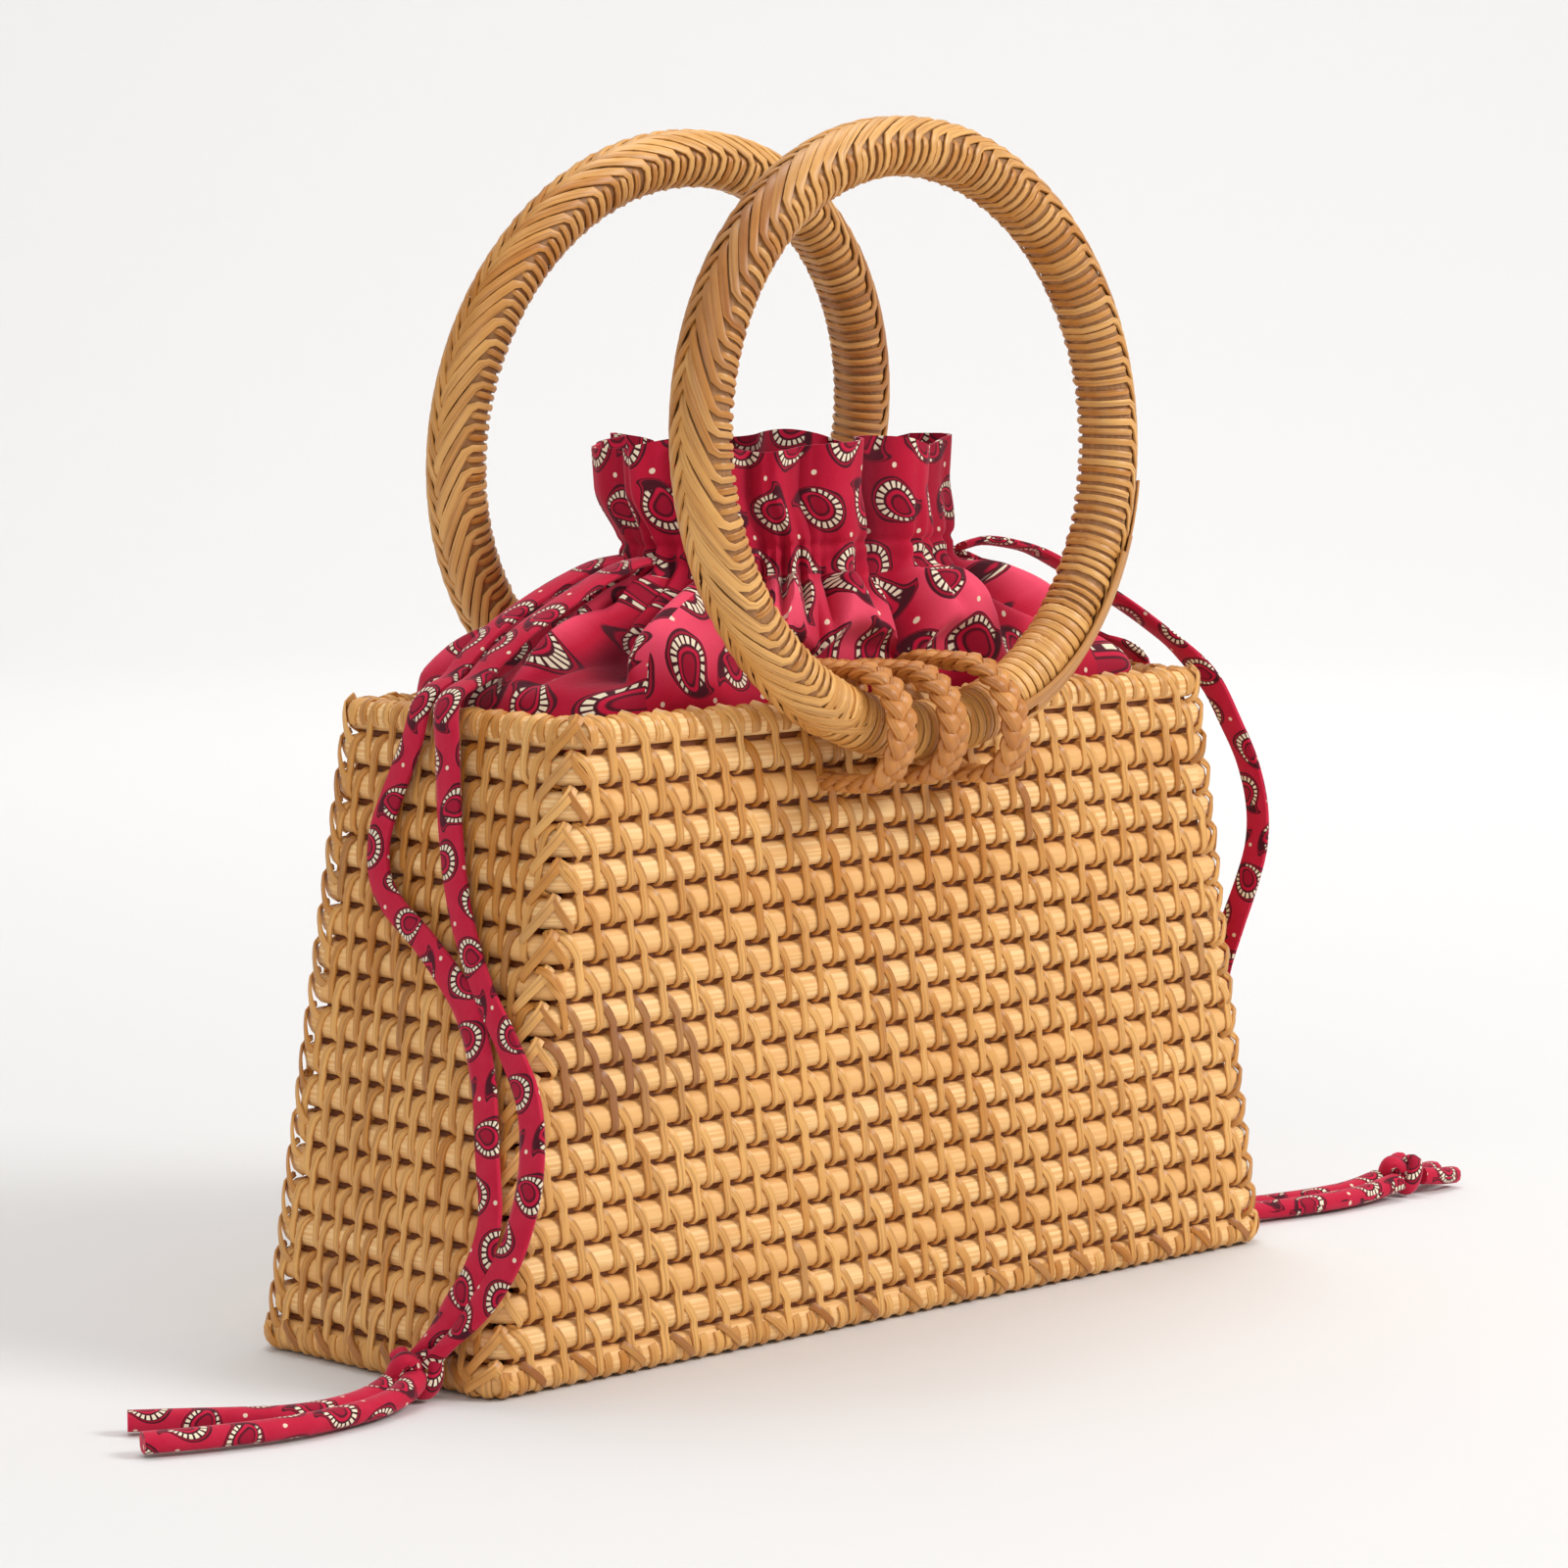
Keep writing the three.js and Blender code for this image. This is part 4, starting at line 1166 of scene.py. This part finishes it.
def pouch_ring(z, inset, columns):
    """One closed ring of points round the pouch."""
    level = level_at(z)
    angle = columns / POUCH_COLUMNS * 2 * math.pi
    spread = math.sqrt(TOP_HALF / HALF_DEPTH)
    fold = folds_at(z, angle)
    seam = 0.9 * MM * sum(math.exp(-((z - height) / (1.1 * MM)) ** 2) for height in SEAMS)
    to_x = spread * np.cos(angle)
    to_y = np.sin(angle)
    length = level["length"] * MM + fold - seam - inset
    depth = level["depth"] * MM + fold - seam - inset
    power = level["square"]
    reach = (np.abs(to_x / length) ** power + np.abs(to_y / depth) ** power) ** (-1 / power)
    x = to_x * reach
    limit = HALF_DEPTH - WALL - LINING_GAP - loop_recess(x, z) - inset
    sag = 0.9 * MM * np.sin(x / (19 * MM) + 60 * z) * ease(z, 165 * MM, 178 * MM)
    y = np.clip(to_y * (reach + sag), -limit, limit)
    pressed = np.exp(-((y - np.where(x < 0, LEFT_PRESS, RIGHT_PRESS)) / (11 * MM)) ** 2)
    puff = PUFF * ease(np.abs(x), 55 * MM, 95 * MM) * (1 - pressed)
    puff = puff * ease(z, 160 * MM, 167 * MM) * (1 - ease(z, 178 * MM, 190 * MM))
    x = x + np.sign(x) * puff
    wave = level["wave"] * WAVE_HEIGHT * (np.cos(5 * angle + 1) + 0.4 * np.sin(9 * angle))
    on_dome = ease(z, 162 * MM, 172 * MM) * (1 - ease(z, 186 * MM, 191 * MM))
    shift = FRILL_SHIFT * ease(z, 197 * MM, 212 * MM)
    return np.stack([x + shift, y, z + wave + 0.85 * on_dome * fold], 1)


def pouch_heights():
    """Rows close together where the cloth is gathered, wide apart where the basket hides it."""
    stretches = ((6.8, 150, 5), (150, 160, 5), (160, 188, 26), (188, 201, 20), (201, 222, 17))
    parts = [np.linspace(low, high, count, endpoint=False) for low, high, count in stretches]
    return np.concatenate(parts + [[222.0]]) * MM


# The print starts elsewhere on the ends and the ruffle, and the ruffle is a little fuller
END_START, RUFFLE_START, RUFFLE_FULLNESS = 0.31, 0.57, 1.04


def per_face(values, order):
    """Each value and the next one, in the order of a face's four corners."""
    return np.stack([values[:-1], values[1:]], 1)[:, order]


def cloth_uv(outer, columns):
    """Along and up the cloth in metres, patch by patch: front, ends, back and ruffle."""
    angle = (columns + 0.5) / POUCH_COLUMNS * 2 * math.pi
    corner = math.atan2(0.55, 0.8)
    on_end = np.abs(np.cos(angle)) > math.cos(corner)
    quads = np.stack([outer[:-1], outer[1:]], 2)
    quads = np.concatenate([quads, np.roll(quads, -1, axis=1)], 2)[:, :, [0, 2, 3, 1]]
    sign_x, sign_y = np.sign(np.cos(angle)), np.sign(np.sin(angle))
    along = np.where(on_end[None, :, None], quads[..., 1] * sign_x[None, :, None],
                     -quads[..., 0] * sign_y[None, :, None])
    up_end = per_face(run_along(outer[:, 0]), [0, 0, 1, 1])
    up_front = per_face(run_along(outer[:, POUCH_COLUMNS // 4]), [0, 0, 1, 1])
    up = np.where(on_end[None, :, None], up_end[:, None, :] + END_START, up_front[:, None, :])
    neck = outer[np.abs(outer[:, 0, 2] - 201 * MM).argmin()]
    around = run_along(np.vstack([neck, neck[:1]])) * RUFFLE_FULLNESS
    ruffle = per_face(around, [0, 1, 1, 0])
    high = (outer[:-1, 0, 2] > 188.5 * MM)[:, None, None]
    along = np.where(high, ruffle[None], along)
    return np.stack([along, np.where(high, up_front[:, None, :] + RUFFLE_START, up)], -1)


def pouch_piece(finish):
    """The cloth's outer and inner side, joined over the lip and closed at the bottom."""
    columns = np.arange(POUCH_COLUMNS)
    heights = pouch_heights()
    outer = np.stack([pouch_ring(z, 0, columns) for z in heights])
    inner = np.stack([pouch_ring(z, CLOTH_THICK, columns) for z in heights])
    inner[0, :, 2] += CLOTH_THICK
    rings = np.concatenate([outer, inner[::-1]])
    rows, count = len(rings), POUCH_COLUMNS
    row, column = np.meshgrid(np.arange(rows - 1), columns, indexing="ij")
    ahead = (column + 1) % count
    quads = np.stack([row * count + column, row * count + ahead,
                      (row + 1) * count + ahead, (row + 1) * count + column], -1)
    faces = quads.reshape(-1, 4).tolist()
    faces.append(columns[::-1].tolist())
    faces.append(((rows - 1) * count + columns).tolist())
    uv_out = cloth_uv(outer, columns)
    uv_in = uv_out[::-1][:, :, [3, 2, 1, 0]]
    walls = np.concatenate([uv_out, uv_out[-1:], uv_in]).reshape(-1, 2)
    uv = np.concatenate([walls, outer[0, ::-1, :2], inner[0, :, :2]])
    angle = columns / count * 2 * math.pi
    # Painted shade and painted highlight for the cloth, carried as its tone.
    tones = np.stack([painted_fold_light(z, angle) for z in heights])
    tone = np.concatenate([tones, tones[::-1]]).ravel()
    points = rings.reshape(-1, 3)
    pouch = make_piece("paisley_pouch", points, faces, uv, {"tone": tone}, [finish], sharp=60)
    fit(pouch, "printed_cotton", "basket", "pouch_body", "pouch_dome", "pouch_frill")


# Floor and light

FLOOR_RADIUS = 2.2
BEND_RADIUS = 2
BEND_STEPS = 14
WALL_HEIGHT = 2.5


def add_bowl():
    """A floor that curves up into its own background."""
    bpy.ops.mesh.primitive_circle_add(vertices=96, radius=FLOOR_RADIUS, fill_type="NGON")
    bowl = bpy.context.object
    bowl.name = "studio_bowl"
    bpy.ops.object.mode_set(mode="EDIT")
    bpy.ops.mesh.select_all(action="SELECT")
    bpy.ops.mesh.region_to_loop()
    radius = FLOOR_RADIUS
    for step in range(1, BEND_STEPS + 1):
        turn = math.pi / 2 * step / BEND_STEPS
        back = math.pi / 2 * (step - 1) / BEND_STEPS
        wider = FLOOR_RADIUS + BEND_RADIUS * math.sin(turn)
        climb = BEND_RADIUS * (math.cos(back) - math.cos(turn))
        bpy.ops.mesh.extrude_edges_move(TRANSFORM_OT_translate={"value": (0, 0, climb)})
        bpy.ops.transform.resize(value=(wider / radius, wider / radius, 1))
        radius = wider
    bpy.ops.mesh.extrude_edges_move(TRANSFORM_OT_translate={"value": (0, 0, WALL_HEIGHT)})
    bpy.ops.object.mode_set(mode="OBJECT")
    bpy.ops.object.shade_smooth()
    bpy.ops.object.select_all(action="DESELECT")
    finish = Finish("pale_backdrop", roughness=0.95, specular=0.0)
    bowl.data.materials.append(finish.shade(colour=linear(226, 225, 224)))


# Area lights: place, what each points at, its size and its power
BAG_MIDDLE = (0, 0, 0.12)
LIGHTS = {
    "backdrop_light": ((1.2, 0.9, 2.3), (2.9, 2.9, 0.9), 1.5, 38),
    "key_light": ((0.9, -1.7, 1.5), BAG_MIDDLE, 0.8, 31),
    "fill_light": ((-2.0, -1.2, 1.3), BAG_MIDDLE, 1.6, 11),
    "top_light": ((0.4, 0.4, 2.2), BAG_MIDDLE, 1.2, 17),
}


def add_light():
    """Soft area lights and an even pale surround."""
    world = bpy.data.worlds.new("studio")
    bpy.context.scene.world = world
    world.use_nodes = True
    background = world.node_tree.nodes["Background"]
    background.inputs["Color"].default_value = (*linear(250, 250, 250), 1)
    background.inputs["Strength"].default_value = 0.66
    for name, (place, target, size, power) in LIGHTS.items():
        data = bpy.data.lights.new(name, "AREA")
        data.size = size
        data.energy = power
        light = bpy.data.objects.new(name, data)
        light.location = place
        aim = Vector(target) - Vector(place)
        light.rotation_euler = aim.to_track_quat("-Z", "Y").to_euler()
        bpy.context.scene.collection.objects.link(light)


bpy.ops.object.select_all(action="DESELECT")
bpy.context.scene.view_settings.view_transform = "Standard"
set_camera()
add_cords([paisley_finish("paisley_tape", 14 * MM, turned=0.45)])
ROD = rod_finish()
STRIP_COLOURS = [linear(232, 176, 100), linear(190, 120, 36), linear(138, 78, 36)]
BRAID_COLOURS = [linear(226, 160, 86), linear(190, 120, 52), linear(120, 68, 28)]
CANE = [ROD, strip_finish("split_cane_strip", *STRIP_COLOURS)]
BRAID = [ROD, strip_finish("braided_cane", *BRAID_COLOURS)]
for number, side in enumerate(("front", "back", "left", "right")):
    side_piece(side, CANE, seed=11 + number)
for number, corner in enumerate(CORNERS):
    corner_piece(corner, CANE, seed=31 + number)
base_piece(CANE, seed=41)
for name in RINGS:
    ring_piece(name, CANE, seed=51 if name == "front" else 52)
    for number, loop in enumerate(LOOPS):
        loop_piece(name, loop, BRAID, seed=61 + number)
pouch_piece(paisley_finish("paisley_cotton", 17 * MM))
add_bowl()
add_light()
